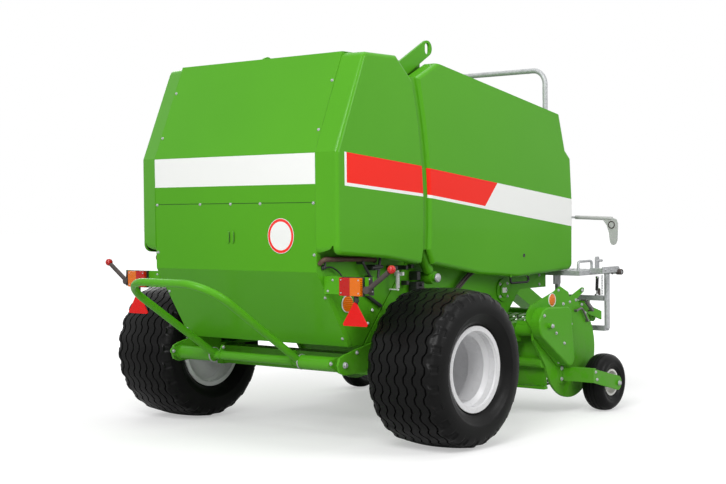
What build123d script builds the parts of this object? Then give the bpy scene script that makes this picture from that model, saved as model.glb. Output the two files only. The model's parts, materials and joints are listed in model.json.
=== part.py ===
# Round baler with a fixed chamber, as it parks: tailgate shut, pickup down, parking jack on the ground.
# Millimetres. X points to the machine's right, Y forwards in travel, Z up. The model is drawn about
# the point on the ground below the axle, and is written out about the middle of its length.
import os
from math import cos, hypot, radians, sin

from build123d import *

os.makedirs("parts", exist_ok=True)

# Clearances
seat = 0.3              # between a piece and what it rests on
running = 0.3           # round a pin, shaft or rod that turns or slides
gap = 8                 # between two covers or walls that part

# Bale chamber, from which the rest of the machine is set out
chamber_half = 600      # half its width, to the walls' inner faces
chamber_radius = 600
chamber_y = 115
floor_z = 690           # its lowest point
wall = 20
slat_radius = 22
slat_clear = 12         # from the walls to the slats' ends
rail_ring = 40
roller_radius = 90
chamber_z = floor_z + chamber_radius
crown = chamber_z + chamber_radius
aft = chamber_y - chamber_radius
fore = chamber_y + chamber_radius
wall_out = chamber_half + wall

# Beam over the chamber, with the tailgate's hinge
beam_rear = chamber_y + 83
beam_fore = beam_rear + 100
beam_under = crown + 170
beam_top = crown + 260
hinge_pin_radius = 20
ear_radius = 48
lift_eye = (beam_fore + 52, crown + 334)
lift_eye_radius = 45

# Tailgate
gate_hinge = (chamber_y - 5, crown + 195)
skin = 5
skin_half = wall_out + 4
flange = 35             # how far the skin is folded onto the walls
gate_roof_front = chamber_y - 155
gate_top = (aft + 97, beam_top)
gate_knee = (aft - 136, chamber_z + 312)
gate_crease = (aft - 130, chamber_z - 324)
gate_bottom = (aft + 122, floor_z - 139)
gate_lip = (aft + 185, floor_z - 141)
gate_foot = (aft + 243, floor_z - 143)
split_low = (chamber_y + 35, chamber_z - 290)
split_high = (chamber_y - 59, crown + 100)

# Side covers, which stand out from the walls
cover_x = wall_out + 139
cover_sheet = 8
cover_lip = 28          # depth of the folded edge along the split and the bottom
cover_edge = 24         # radius of its outer edges
cover_corner = 44
cover_sweep = 23        # how far the rear strip runs forwards on its way out
cover_groove = 50       # width of the rebate along the split
cover_top = beam_top - 8
cover_hinge_x = wall_out + 48
cover_hinge_radius = 8
cover_slope = ((beam_fore - 15, crown + 235), (fore + 889, crown - 1))

# Tailgate cylinders
ram_x = wall_out + 70
ram_half = 25           # half the width of its eyes
barrel_radius = 35
barrel_bore = 25
rod_radius = 17
eye_radius = 38
ram_pin_radius = 20
ram_foot = (chamber_y + 185, chamber_z - 390)
ram_head = (chamber_y - 315, chamber_z + 410)

# Rails over the axle
rail_in = wall_out + 20
rail_out = rail_in + 100
rail_depth = 117
rail_rear = -120
rail_front = fore + 447

# Wheels on the axle
tyre_radius = 433
tyre_width = 486
tyre_clear = 4          # from the side covers to the tyre
track = 2 * (cover_x + tyre_clear) + tyre_width
rim_radius = 234
rim_seat_radius = 214
rim_half = 203          # to the outer face of a flange
rim_bead = 195          # to the inner face of a flange, where the tyre's bead sits
rim_sheet = 8
rim_well = 20           # depth of the well between the beads
hub_radius = 70
spindle_radius = 35
hub_x = track / 2 - 161  # inner end of the hub
hub_length = 110
axle_half = rail_out - 50
axle_depth = 110
axle_top = tyre_radius + 37

# Bale ramp
ramp_y = aft + 55
ramp_z = 460
ramp_half = rail_in - 19
ramp_sleeve_radius = 39
ramp_sleeve_in = ramp_half - 281
ramp_tube_radius = 25
ramp_bar_radius = 21
ramp_leg_x = ramp_sleeve_in - 10
ramp_rear = ramp_y - 710
ramp_top = 920
ramp_bend = 190
ramp_pin_radius = 15
bracket_plate = 16

# Feed rotor
rotor_y = fore + 105
rotor_z = floor_z - 130
rotor_radius = 235
rotor_core = 90
rotor_shaft = 35
blade_pitch = 110
trough_gap = 10
trough_sheet = 6

# Pickup
pivot_y = fore + 420
pivot_z = floor_z - 115
pivot_radius = 25
pickup_x = wall_out + 250  # inner faces of its side plates
pickup_plate = 15
reel_y = fore + 790
reel_z = 395
reel_disc = 300
reel_tube = 45
tine_circle = 165
tine_tip = 268
tine_wire = 7
tine_bars = 4
tine_pitch = 70
tine_margin = 65        # from a side plate to its first tine, at least
tine_count = int(2 * (pickup_x - tine_margin) // tine_pitch) + 1
band_radius = 215
band_sheet = 4
band_half = 22
band_back = (reel_y - 290, reel_z + 177)
band_low = (reel_y - 247, reel_z - 217)
frame_tube = (reel_y - 300, reel_z - 60)
crop_y = reel_y + 395
crop_z = reel_z + 190
crop_radius = 30
guard_in = pickup_x + pickup_plate + 5
guard_base = 8
guard_out = guard_in + 70

# Gauge wheels
gauge_x = pickup_x + 142
gauge_y = reel_y + 198
gauge_radius = 181
gauge_width = 150
gauge_rim = 82
gauge_pin = 15
gauge_hub = 34
arm_y = reel_y - 105
arm_z = 253
arm_depth = 86
fork_x = gauge_x + 92
fork_plate = 10

# Cross beam and gearbox at the front
front_y = fore + 925
front_low = 780
front_high = 900
shaft_z = 1020
shaft_radius = 18

# Net box
net_y = fore + 190
lid_hinge = (net_y, crown + 100)
lid_hinge_x = chamber_half - 120
net_sheet = 6

# Drawbar, with its jack and towing eye
drawbar_width = 110
drawbar_depth = 110
drawbar_z = 850
eye_y = front_y + 1440
eye_z = 540
eye_bore = 26
eye_outer = 62
eye_depth = 40
drawbar_run = ((front_y, drawbar_z), (front_y + 340, drawbar_z), (eye_y - 520, eye_z + 5), (eye_y - 70, eye_z))
jack_x = 105
jack_y = eye_y - 80
jack_tube_radius = 40
jack_leg_radius = 31
jack_foot_radius = 90

# Platform, ladder and handrail
platform_low = 855
platform_high = 885
platform_left = 180
platform_right = wall_out + 242
platform_front = front_y + 335
ladder_y = front_y + 360
ladder_z = 870
ladder_left = platform_right - 374
ladder_right = platform_right + 6
ladder_rail = 18
ladder_bar = 15
rail_y = front_y + 117
handrail_x = chamber_half - 49
handrail_top = crown + 313
handrail_radius = 17

# Lamps and markers
lamp_in = wall_out + 138
lamp_out = lamp_in + 147
lamp_middle = lamp_in + 74
lamp_bar_out = lamp_in + 204
lamp_y = aft - 72       # rear face of the lamps' bars
lamp_low = 845
lamp_high = 945
lamp_depth = 18
lens_depth = 19
marker_x = lamp_in + 338
marker_z = 990
marker_radius = 22


def side(x):
    """Plane across the machine at x, whose first axis is Y and second axis Z."""
    return Plane.YZ.offset(x)


def beside(points, amount):
    """An open run of points moved to its left by amount, with mitred corners."""
    runs = [(b[0] - a[0], b[1] - a[1]) for a, b in zip(points, points[1:])]
    lefts = [(-dy / hypot(dx, dy), dx / hypot(dx, dy)) for dx, dy in runs]
    moved = []
    for (y, z), one, two in zip(points, lefts[:1] + lefts, lefts + lefts[-1:]):
        share = amount / (1 + one[0] * two[0] + one[1] * two[1])
        moved.append((y + share * (one[0] + two[0]), z + share * (one[1] + two[1])))
    return moved


def plate(plane, outline, thickness, mode=Mode.ADD):
    """Flat plate: a closed outline, thickened along its plane's normal."""
    with BuildSketch(plane) as face:
        with BuildLine():
            Polyline(*outline, close=True)
        make_face()
    extrude(face.sketch, amount=thickness, mode=mode)


def sheet(plane, run, thickness, width):
    """Folded sheet: an open run with its thickness to its left."""
    plate(plane, list(run) + beside(run, thickness)[::-1], width)


def rod(start, end, radius, bore=0, mode=Mode.ADD):
    """Round bar or tube from start to end."""
    along = Plane(origin=start, z_dir=Vector(*end) - Vector(*start))
    with BuildSketch(along) as face:
        Circle(radius)
        if bore:
            Circle(bore, mode=Mode.SUBTRACT)
    extrude(face.sketch, amount=(Vector(*end) - Vector(*start)).length, mode=mode)


def block(low, high, mode=Mode.ADD):
    """Square-edged bar between two corners."""
    size = [b - a for a, b in zip(low, high)]
    with Locations(tuple((a + b) / 2 for a, b in zip(low, high))):
        Box(*size, mode=mode)


def tube(points, radius, bends):
    """Round bar along a run with bent corners."""
    with BuildLine() as path:
        FilletPolyline(*points, radius=bends)
    with BuildSketch(Plane(origin=path.line @ 0, z_dir=path.line % 0)) as face:
        Circle(radius)
    sweep(face.sketch, path=path.line)


def hull_plate(plane, circles, thickness, bores=()):
    """Plate round a few circles, given as (first, second, radius), with bores through it."""
    with BuildSketch(plane) as face:
        for first, second, radius in circles:
            with Locations((first, second)):
                Circle(radius)
        make_hull()
        for first, second, radius in bores:
            with Locations((first, second)):
                Circle(radius, mode=Mode.SUBTRACT)
    extrude(face.sketch, amount=thickness)


def ring(plane, centre, inner, outer, start, turn, thickness, mode=Mode.ADD):
    """Part of a flat ring from the angle start through turn, in degrees."""
    with BuildSketch(plane) as face:
        with BuildLine():
            CenterArc(centre, inner, start, turn)
            CenterArc(centre, outer, start, turn)
            for angle in (radians(start), radians(start + turn)):
                across = (cos(angle), sin(angle))
                Line(
                    (centre[0] + inner * across[0], centre[1] + inner * across[1]),
                    (centre[0] + outer * across[0], centre[1] + outer * across[1]),
                )
        make_face()
    extrude(face.sketch, amount=thickness, mode=mode)


def round_chamber(angle, radius):
    """The point (y, z) at an angle and radius about the middle of the bale chamber."""
    return (chamber_y + radius * cos(radians(angle)), chamber_z + radius * sin(radians(angle)))


def cover_axis(y):
    """Height of the front covers' hinge line at y."""
    (rear_y, rear_z), (fore_y, fore_z) = cover_slope
    return rear_z - cover_hinge_radius + (fore_z - rear_z) * (y - rear_y) / (fore_y - rear_y)


def split_arc(forwards):
    """Bowed line along which two side covers part, from bottom to top, moved forwards."""
    return (
        (split_low[0] - 13 + forwards, chamber_z - 225),
        (split_low[0] - 20 + forwards, chamber_z + 270),
        (split_high[0] - 17 + forwards, crown + 142),
    )


def cover_form(near, far, inset, soft, hard):
    """Moulded form of a side cover between two outlines, or with an inset the room inside it.

    Each outline is (x, points, forwards): its points run from the split's top round to the split's
    bottom, and its split is moved forwards. The corners numbered in soft are rounded, and so are the
    outer edges, apart from those for whose centre hard is true."""
    with BuildPart(mode=Mode.PRIVATE) as form:
        faces = []
        for x, points, forwards in (near, far):
            low, bow, high = split_arc(forwards)
            corners = [points[index] for index in soft]
            with BuildSketch(side(x)) as face:
                with BuildLine():
                    Polyline(high, *points, low)
                    ThreePointArc(low, bow, high)
                make_face()
                fillet([v for v in face.vertices() if min(hypot(v.X - y, v.Y - z) for y, z in corners) < 1],
                       cover_corner)
                if inset:
                    offset(amount=-inset, kind=Kind.INTERSECTION)
            faces.append(face.sketch)
        loft(faces, ruled=True)
        outer = form.faces().sort_by(Axis.X)[-1]
        fillet([edge for edge in outer.edges() if not hard(edge.center())], cover_edge - inset)
    return form.part


def open_inside(x, start, outline):
    """Opens a cover through its folded edges, from the plane start to the plane x."""
    plate(side(start), outline, x - start, mode=Mode.SUBTRACT)


pieces = []


def keep(builder, label):
    """Names a finished piece and puts it on the list that is written out."""
    builder.part.label = label
    pieces.append(builder.part)


def keep_pair(builder, label):
    """Keeps a right-hand piece and its mirror image for the left."""
    keep(builder, label + "_right")
    with BuildPart() as left:
        add(mirror(builder.part, about=Plane.YZ, mode=Mode.PRIVATE))
    keep(left, label + "_left")


def across(hand, near, far):
    """The two distances from the middle as x values on one hand, the lower first."""
    return sorted((hand * near, hand * far))


# Axle beam with a spindle at each end
with BuildPart() as axle_beam:
    block((-axle_half, -axle_depth / 2, axle_top - axle_depth), (axle_half, axle_depth / 2, axle_top))
    for hand in (-1, 1):
        rod(
            (hand * axle_half, 0, tyre_radius), (hand * (hub_x + hub_length - 30), 0, tyre_radius), spindle_radius,
        )
        low, high = across(hand, rail_in, axle_half)
        block((low, -65, axle_top - axle_depth - 6), (high, 65, axle_top))
keep(axle_beam, "axle_beam")

# Rails over the axle: a pickup pivot stands out from each, and a plate runs back to hold the ramp
ramp_plate = (
    (rail_rear + 40, axle_top + rail_depth), (ramp_y, ramp_z + 55), (ramp_y - 40, ramp_z + 40),
    (ramp_y - 55, ramp_z), (ramp_y - 40, ramp_z - 40), (ramp_y, ramp_z - 55), (rail_rear + 30, axle_top - 60),
    (rail_rear + 40, axle_top + 10),
)
with BuildPart() as main_rails:
    block((rail_in, rail_rear, axle_top + seat), (rail_out, rail_front, axle_top + rail_depth))
    block((rail_in - 1, rail_rear, axle_top + 18), (rail_out - 10, rail_front + 1, axle_top + rail_depth - 18),
          mode=Mode.SUBTRACT)
    block((rail_in, pivot_y - 60, axle_top + seat), (rail_out, rail_front, axle_top + rail_depth))
    rod((rail_out - 1, pivot_y, pivot_z - 30), (pickup_x - seat, pivot_y, pivot_z - 30), 40)
    rod((rail_out - 1, pivot_y, pivot_z), (guard_in - seat, pivot_y, pivot_z), pivot_radius)
    plate(side(rail_in), ramp_plate, bracket_plate)
    rod((ramp_half + seat, ramp_y, ramp_z), (rail_in + 1, ramp_y, ramp_z), 26)
    rod((ramp_half - 40, ramp_y, ramp_z), (rail_in + 1, ramp_y, ramp_z), ramp_pin_radius)
    for y in (20, fore - 315, fore + 245):
        block((wall_out + seat, y, axle_top + 55), (rail_out - 8, y + 70, axle_top + 105))
    add(mirror(main_rails.part, about=Plane.YZ, mode=Mode.PRIVATE))
keep(main_rails, "main_rails")

# Side walls of the fixed half of the chamber, which carry the whole front of the machine
frame_wall = (
    (gate_foot[0] + gap + 2, gate_foot[1] - 7),
    (split_low[0] + gap + 2, split_low[1]),
    (split_high[0] + gap + 12, split_high[1]),
    (chamber_y + 60, crown + 130),
    (beam_rear - 6, beam_under - seat),
    (beam_fore + seat, beam_under - seat),
    (beam_fore + seat, crown + 218 - seat),
    (net_y - 27, crown + 114 - seat),
    (net_y + 585, lid_hinge[1] - 102),
    (net_y + 641, lid_hinge[1] - 390),
    (front_y, front_high),
    (front_y, front_low),
    (front_y - 310, front_low),
    (pivot_y + 105, pivot_z + 115),
    (pivot_y - 75, pivot_z - 75),
    (rotor_y, rotor_z - 180),
    (rotor_y - 280, floor_z - 170),
    (aft + 385, floor_z - 170),
)
bearings = (
    ((rotor_y, rotor_z), 75), ((pivot_y, pivot_z + 209), 70),
    (round_chamber(274, chamber_radius + roller_radius), 55),
    (round_chamber(298, chamber_radius + roller_radius), 55),
)
hinge_tabs = (fore - 315, fore + 185, fore + 735)
with BuildPart() as chamber_side:
    plate(side(chamber_half), frame_wall, wall)
    rod((chamber_half, rotor_y, rotor_z), (wall_out, rotor_y, rotor_z), rotor_radius + trough_gap + 25)
    ring(
        side(chamber_half - slat_clear + seat), (chamber_y, chamber_z), chamber_radius + 4,
        chamber_radius + rail_ring, -38, 132, slat_clear,
    )
    rod((wall_out - 1, *ram_foot), (ram_x - ram_half - seat, *ram_foot), ram_pin_radius + 14)
    rod((wall_out - 1, *ram_foot), (ram_x + ram_half + 12, *ram_foot), ram_pin_radius)
    for (y, z), radius in bearings:
        rod((wall_out - 1, y, z), (wall_out + 10, y, z), radius)
        rod((wall_out + 9, y, z), (wall_out + 18, y, z), radius * 0.6)
    for y in hinge_tabs:
        hinge_z = cover_axis(y + 30)
        block((wall_out - 1, y, hinge_z - 80), (wall_out + 8, y + 60, hinge_z + 6))
        block(
            (wall_out - 1, y, hinge_z - 6), (cover_hinge_x - cover_hinge_radius - seat, y + 60, hinge_z + 6),
        )
keep_pair(chamber_side, "chamber_side")


def slat_run(first, last, step):
    """Slats across the chamber from one angle to another."""
    for angle in range(first, last + 1, step):
        y, z = round_chamber(angle, chamber_radius + slat_radius)
        rod((slat_clear - chamber_half, y, z), (chamber_half - slat_clear, y, z), slat_radius)


# Slats of the fixed half, and the wall behind them
with BuildPart() as front_slats:
    slat_run(-34, 83, 13)
keep(front_slats, "front_slats")

with BuildPart() as front_wall:
    ring(
        side(seat - chamber_half), (chamber_y, chamber_z), chamber_radius + 85, chamber_radius + 91,
        -33, 118, 2 * (chamber_half - seat),
    )
keep(front_wall, "front_wall")

# Rollers under the bale
with BuildPart() as floor_rollers:
    for angle in (250, 274, 298):
        y, z = round_chamber(angle, chamber_radius + roller_radius)
        rod((1 - chamber_half, y, z), (chamber_half - 1, y, z), roller_radius)
        rod((seat - chamber_half, y, z), (chamber_half - seat, y, z), 30)
keep(floor_rollers, "floor_rollers")

# Beam over the chamber with the tailgate's hinge pins and the lifting eyes
with BuildPart() as hinge_beam:
    block((-wall_out - 4, beam_rear, beam_under), (wall_out + 4, beam_fore, beam_top))
    for x in (wall_out + 4, -wall_out - 20):
        with BuildSketch(side(x)) as lug:
            with Locations(gate_hinge):
                Circle(ear_radius)
            with Locations(lift_eye):
                Circle(lift_eye_radius)
            make_hull()
            with Locations((lift_eye[0], lift_eye[1] - 2)):
                SlotCenterToCenter(24, 44, rotation=90, mode=Mode.SUBTRACT)
        extrude(lug.sketch, amount=16)
    for hand in (-1, 1):
        rod(
            (hand * (chamber_half - 8), *gate_hinge), (hand * (wall_out + 10), *gate_hinge), hinge_pin_radius,
        )
keep(hinge_beam, "hinge_beam")

# Roof from the beam to the net box
with BuildPart() as roof:
    sheet(
        side(2 - wall_out), ((beam_fore + seat, crown + 218), (net_y - 25, crown + 114)), net_sheet,
        2 * (wall_out - 2),
    )
keep(roof, "roof")

# Net box: a trough across the machine under its own lid
with BuildPart() as net_box:
    sheet(
        side(seat - chamber_half),
        ((net_y, lid_hinge[1] - 30), (net_y, chamber_z + 130), (net_y + 495, chamber_z + 60),
         (net_y + 615, chamber_z + 310)),
        net_sheet, 2 * (chamber_half - seat),
    )
    rod((seat - chamber_half, *lid_hinge), (chamber_half - seat, *lid_hinge), 8)
    for low, high in (
        (seat - chamber_half, -lid_hinge_x - 35), (35 - lid_hinge_x, -35), (35, lid_hinge_x - 35),
        (lid_hinge_x + 35, chamber_half - seat),
    ):
        block((low, net_y - net_sheet, lid_hinge[1] - 35), (high, net_y, lid_hinge[1] - 5))
keep(net_box, "net_box")
with BuildPart() as net_lid:
    sheet(
        side(2 - chamber_half),
        ((net_y + 20, lid_hinge[1] + 10), (net_y + 585, lid_hinge[1] - 92), (net_y + 647, lid_hinge[1] - 400)),
        -net_sheet, 2 * (chamber_half - 2),
    )
    for x in (-lid_hinge_x, 0, lid_hinge_x):
        rod((x - 30, *lid_hinge), (x + 30, *lid_hinge), 14, 8 + running)
        block((x - 30, net_y + 7, lid_hinge[1] + 8), (x + 30, net_y + 25, lid_hinge[1] + 15))
keep(net_lid, "net_lid")

# Cross beam, gearbox and input shaft at the front
with BuildPart() as front_beam:
    block((-chamber_half + seat, front_y - 100, front_low), (chamber_half - seat, front_y, front_high))
    block((-150, front_y - 60, front_high - 1), (150, front_y - 40, shaft_z + 130))
keep(front_beam, "front_beam")

gearbox_face = front_y + 95
with BuildPart() as gearbox:
    block((-105, front_y - 40 + seat, shaft_z - 90), (105, gearbox_face, shaft_z + 90))
    fillet(gearbox.edges().filter_by(Axis.Y), 25)
    chamfer(gearbox.faces().sort_by(Axis.Y)[-1].edges(), 12)
    rod((0, gearbox_face - 1, shaft_z), (0, gearbox_face + 55, shaft_z), 60)
    rod((0, gearbox_face + 50, shaft_z), (0, gearbox_face + 125, shaft_z), shaft_radius)
    rod((0, gearbox_face + 5, shaft_z), (0, gearbox_face + 145, shaft_z), 92, 86)
    rod((0, gearbox_face, shaft_z), (0, gearbox_face + 6, shaft_z), 92)
    rod((60, gearbox_face - 60, shaft_z + 88), (60, gearbox_face - 60, shaft_z + 106), 18)
keep(gearbox, "gearbox")

# Trough under the feed rotor
with BuildPart() as feed_trough:
    inner = rotor_radius + trough_gap
    ring(
        side(seat - chamber_half), (rotor_y, rotor_z), inner, inner + trough_sheet, 165, 155,
        2 * (chamber_half - seat),
    )
keep(feed_trough, "feed_trough")

# Feed rotor: rows of three blades, each row turned a little from the last
blade_sides = ((-25, rotor_core - 5), (25, rotor_core - 5), (12, rotor_radius), (4, rotor_radius))
blade_rows = int(2 * (chamber_half - 50) // blade_pitch) + 1
with BuildPart() as feed_rotor:
    rod((20 - chamber_half, rotor_y, rotor_z), (chamber_half - 20, rotor_y, rotor_z), rotor_core)
    rod((seat - chamber_half, rotor_y, rotor_z), (chamber_half - seat, rotor_y, rotor_z), rotor_shaft)
    for row in range(blade_rows):
        x = blade_pitch * (row - (blade_rows - 1) / 2)
        for blade in range(3):
            turn = 120 * blade + 12 * row
            points = [
                (rotor_y + radius * cos(radians(turn + angle)), rotor_z + radius * sin(radians(turn + angle)))
                for angle, radius in blade_sides
            ]
            plate(side(x - 4), points, 8)
keep(feed_rotor, "feed_rotor")

# Drive case over the chain from the gearbox's cross shaft to the feed rotor, on the left wall
cross_shaft = (front_y - 240, shaft_z)
with BuildPart() as drive_case:
    hull_plate(
        side(-wall_out - 38), ((*cross_shaft, 112), (rotor_y + 110, rotor_z + 190, 150)), 38 - seat,
    )
    fillet(drive_case.faces().sort_by(Axis.X)[0].edges(), 12)
    rod((-wall_out - 50, *cross_shaft), (-wall_out - 37, *cross_shaft), 45)
    for (y, z), radius in bearings:
        rod((-wall_out - 50, y, z), (-wall_out, y, z), radius + 3, mode=Mode.SUBTRACT)
keep(drive_case, "drive_case")

# Valve block of the tailgate cylinders, on the right wall
with BuildPart() as valve_block:
    block((wall_out + seat, split_low[0] + 28, ram_foot[1] - 110), (wall_out + 62, split_low[0] + 98, ram_foot[1] - 20))
    fillet(valve_block.edges().filter_by(Axis.Z), 6)
    for index in range(3):
        z = ram_foot[1] - 95 + 30 * index
        rod((wall_out + 61, split_low[0] + 63, z), (wall_out + 80, split_low[0] + 63, z), 11)
keep(valve_block, "valve_block")

# Tailgate: walls, folded skin and slats
gate_run = ((gate_roof_front, gate_top[1]), gate_top, gate_knee, gate_crease, gate_bottom, gate_lip)
with BuildPart() as gate_side:
    with BuildSketch(side(chamber_half)) as outline:
        with BuildLine():
            Polyline(*beside(gate_run, skin + seat), gate_foot, split_low, split_high, close=True)
        make_face()
        with Locations(gate_hinge):
            Circle(ear_radius)
        with BuildLine():
            Polyline(
                (gate_roof_front, gate_top[1] - skin - seat), (gate_hinge[0], gate_hinge[1] + ear_radius - 1),
                (gate_hinge[0] + 20, gate_hinge[1]), (gate_hinge[0], gate_hinge[1] - ear_radius + 1), split_high,
                close=True,
            )
        make_face()
        with Locations(gate_hinge):
            Circle(hinge_pin_radius + running, mode=Mode.SUBTRACT)
    extrude(outline.sketch, amount=wall)
    ring(
        side(chamber_half - slat_clear + seat), (chamber_y, chamber_z), chamber_radius + 4,
        chamber_radius + rail_ring, 106, 128, slat_clear,
    )
    rod((wall_out - 1, *ram_head), (ram_x - ram_half - seat, *ram_head), ram_pin_radius + 14)
keep_pair(gate_side, "gate_side")

with BuildPart() as gate_skin:
    sheet(side(-skin_half), gate_run, skin, 2 * skin_half)
    folded = gate_run[1:5]
    for x in (-skin_half, wall_out + seat):
        sheet(side(x), folded, flange, skin_half - wall_out - seat)
keep(gate_skin, "gate_skin")

with BuildPart() as gate_slats:
    slat_run(109, 235, 14)
keep(gate_slats, "gate_slats")

# Rear side covers, which ride on the tailgate
rear_points = (
    (gate_roof_front - 45, cover_top), (gate_top[0] + 23, cover_top), (gate_knee[0] + 23, gate_knee[1]),
    (gate_crease[0] + 17, gate_crease[1] + 96), (aft + 278, chamber_z - 259), (split_low[0] - 62, chamber_z - 302),
    (split_low[0] - 30, chamber_z - 298),
)
swept_points = rear_points[:1] + tuple((y - cover_sweep, z) for y, z in rear_points[1:4]) + rear_points[4:]
cover_bottom = floor_z + 90
with BuildPart() as rear_cover:
    for inset, mode in ((0, Mode.ADD), (cover_sheet, Mode.SUBTRACT)):
        near = skin_half + seat if mode == Mode.ADD else skin_half - 1
        add(
            cover_form(
                (near, swept_points, 0), (cover_x - inset, rear_points, 0), inset, (1, 3),
                lambda centre: centre.Y > split_high[0],
            ),
            mode=mode,
        )
    open_inside(
        cover_x - cover_lip, skin_half - 1,
        ((rear_points[3][0] - 6, cover_bottom), (rear_points[3][0] - 6, rear_points[3][1] + cover_corner),
         (0, chamber_z), (0, cover_top - cover_sheet), (split_low[0] + 60, cover_top - cover_sheet),
         (split_low[0] + 60, cover_bottom)),
    )
keep_pair(rear_cover, "rear_cover")

# Front side covers, hinged along their sloping tops, with a rebate along the split
front_points = (
    *cover_slope, (front_y + 34, crown - 223), (front_y + 96, crown - 274), (front_y + 117, chamber_z + 53),
    (front_y + 112, chamber_z - 396), (front_y - 515, chamber_z - 421), (fore - 21, chamber_z - 384),
    (split_low[0] + 90, chamber_z - 310),
)
rebate = gap + cover_groove
lip_x = cover_x - cover_lip
with BuildPart() as front_cover:
    for inset, mode in ((0, Mode.ADD), (cover_sheet, Mode.SUBTRACT)):
        near = cover_hinge_x if mode == Mode.ADD else cover_hinge_x - 1
        add(
            cover_form(
                (near, front_points, rebate), (cover_x - inset, front_points, rebate), inset, (4, 5),
                lambda centre: centre.Z > crown and centre.Y > beam_rear,
            ),
            mode=mode,
        )
    open_inside(
        lip_x, cover_hinge_x - 1,
        ((0, cover_bottom), (0, chamber_z + chamber_radius), (split_high[0] + rebate + 60, crown + 120),
         (cover_slope[0][0], cover_slope[0][1] - cover_sheet - 1), (fore, chamber_z + 500),
         (front_y + 60, chamber_z), (front_y + 60, cover_bottom)),
    )
    with BuildSketch(side(lip_x)) as shelf:
        with BuildLine():
            rear_line = ThreePointArc(*split_arc(gap))
            front_line = ThreePointArc(*split_arc(rebate + 12))
            Line(rear_line @ 0, front_line @ 0)
            Line(rear_line @ 1, front_line @ 1)
        make_face()
    extrude(shelf.sketch, amount=cover_sheet)
    rod(
        (cover_hinge_x, hinge_tabs[0] - 70, cover_axis(hinge_tabs[0] - 70)),
        (cover_hinge_x, hinge_tabs[-1] + 110, cover_axis(hinge_tabs[-1] + 110)), cover_hinge_radius,
    )
    handle_y, handle_z = front_y - 400, chamber_z - 456
    tube(
        ((cover_x - 14, handle_y, handle_z + 52), (cover_x - 14, handle_y, handle_z),
         (cover_x - 14, handle_y - 200, handle_z), (cover_x - 14, handle_y - 200, handle_z + 52)),
        7, 16,
    )
keep_pair(front_cover, "front_cover")

# Lamps and markers at the rear corners
with BuildPart() as lamp_bars:
    for hand in (-1, 1):
        low, high = across(hand, skin_half + 2, lamp_bar_out)
        block((low, lamp_y, lamp_low + 5), (high, lamp_y + 6, lamp_high))
        low, high = across(hand, skin_half + seat, skin_half + 8)
        block((low, lamp_y, lamp_low + 5), (high, aft + 30, lamp_high))
        low, high = across(hand, wall_out + seat, skin_half + 8)
        block((low, aft - 10, lamp_low + 5), (high, aft + 30, lamp_high))
keep(lamp_bars, "lamp_bars")

with BuildPart() as lamp_housings:
    for hand in (-1, 1):
        low, high = across(hand, lamp_in, lamp_out)
        block((low, lamp_y - lamp_depth, lamp_low), (high, lamp_y - seat, lamp_high))
        low, high = across(hand, lamp_middle, lamp_middle + 26)
        block((low, lamp_y - 6, lamp_low - 145), (high, lamp_y - seat, lamp_low + 1))
    fillet(lamp_housings.faces().sort_by(Axis.Y)[0].edges().filter_by(Axis.Z), 8)
keep(lamp_housings, "lamp_housings")

lens_face = lamp_y - lamp_depth
with BuildPart() as red_lenses:
    for hand in (-1, 1):
        low, high = across(hand, lamp_in + 2, lamp_middle - 1)
        block((low, lens_face - lens_depth, lamp_low + 3), (high, lens_face - seat, lamp_high - 3))
keep(red_lenses, "red_lenses")

with BuildPart() as amber_lenses:
    for hand in (-1, 1):
        low, high = across(hand, lamp_middle, lamp_out - 2)
        block((low, lens_face - lens_depth, lamp_low + 3), (high, lens_face - seat, lamp_high - 3))
        rod(
            (hand * (wall_out + seat), aft + 115, floor_z + 96), (hand * (wall_out + 12), aft + 115, floor_z + 96),
            42,
        )
keep(amber_lenses, "amber_lenses")

triangle_x = lamp_middle + 13
with BuildPart() as rear_triangles:
    for hand in (-1, 1):
        with BuildSketch(Plane.XZ.offset(6 + seat - lamp_y)) as triangle:
            with BuildLine():
                Polyline(
                    (hand * (triangle_x - 90), lamp_low - 157), (hand * (triangle_x + 90), lamp_low - 157),
                    (hand * triangle_x, lamp_low - 23), close=True,
                )
            make_face()
            fillet(triangle.vertices(), 9)
        extrude(triangle.sketch, amount=6)
keep(rear_triangles, "rear_triangles")

arm_foot_x = lamp_bar_out - 25
with BuildPart() as marker_arms:
    for hand in (-1, 1):
        rod(
            (hand * arm_foot_x, lens_face, marker_z - 110), (hand * (marker_x - 18), lens_face, marker_z - 14), 13,
        )
        rod(
            (hand * arm_foot_x, lamp_y - seat, marker_z - 110), (hand * arm_foot_x, lamp_y - 33, marker_z - 110),
            20,
        )
keep(marker_arms, "marker_arms")

with BuildPart() as marker_lenses:
    for hand in (-1, 1):
        with Locations((hand * marker_x, lens_face, marker_z)):
            Sphere(marker_radius)
keep(marker_lenses, "marker_lenses")

# Blank round sign on the rear skin
sign_x = skin_half - 253
sign_z = chamber_z - 132
sign_face = gate_knee[0] + 3.5
with BuildPart() as sign_disc:
    rod((sign_x, sign_face - seat, sign_z), (sign_x, sign_face - 2 - seat, sign_z), 95)
keep(sign_disc, "sign_disc")

# Tailgate cylinders
ram_length = hypot(ram_head[0] - ram_foot[0], ram_head[1] - ram_foot[1])
ram_way = ((ram_head[0] - ram_foot[0]) / ram_length, (ram_head[1] - ram_foot[1]) / ram_length)
barrel_end = ram_length - 70


def on_ram(distance):
    """The point of the cylinder's axis at a distance from its foot pin."""
    return (ram_x, ram_foot[0] + ram_way[0] * distance, ram_foot[1] + ram_way[1] * distance)


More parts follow.
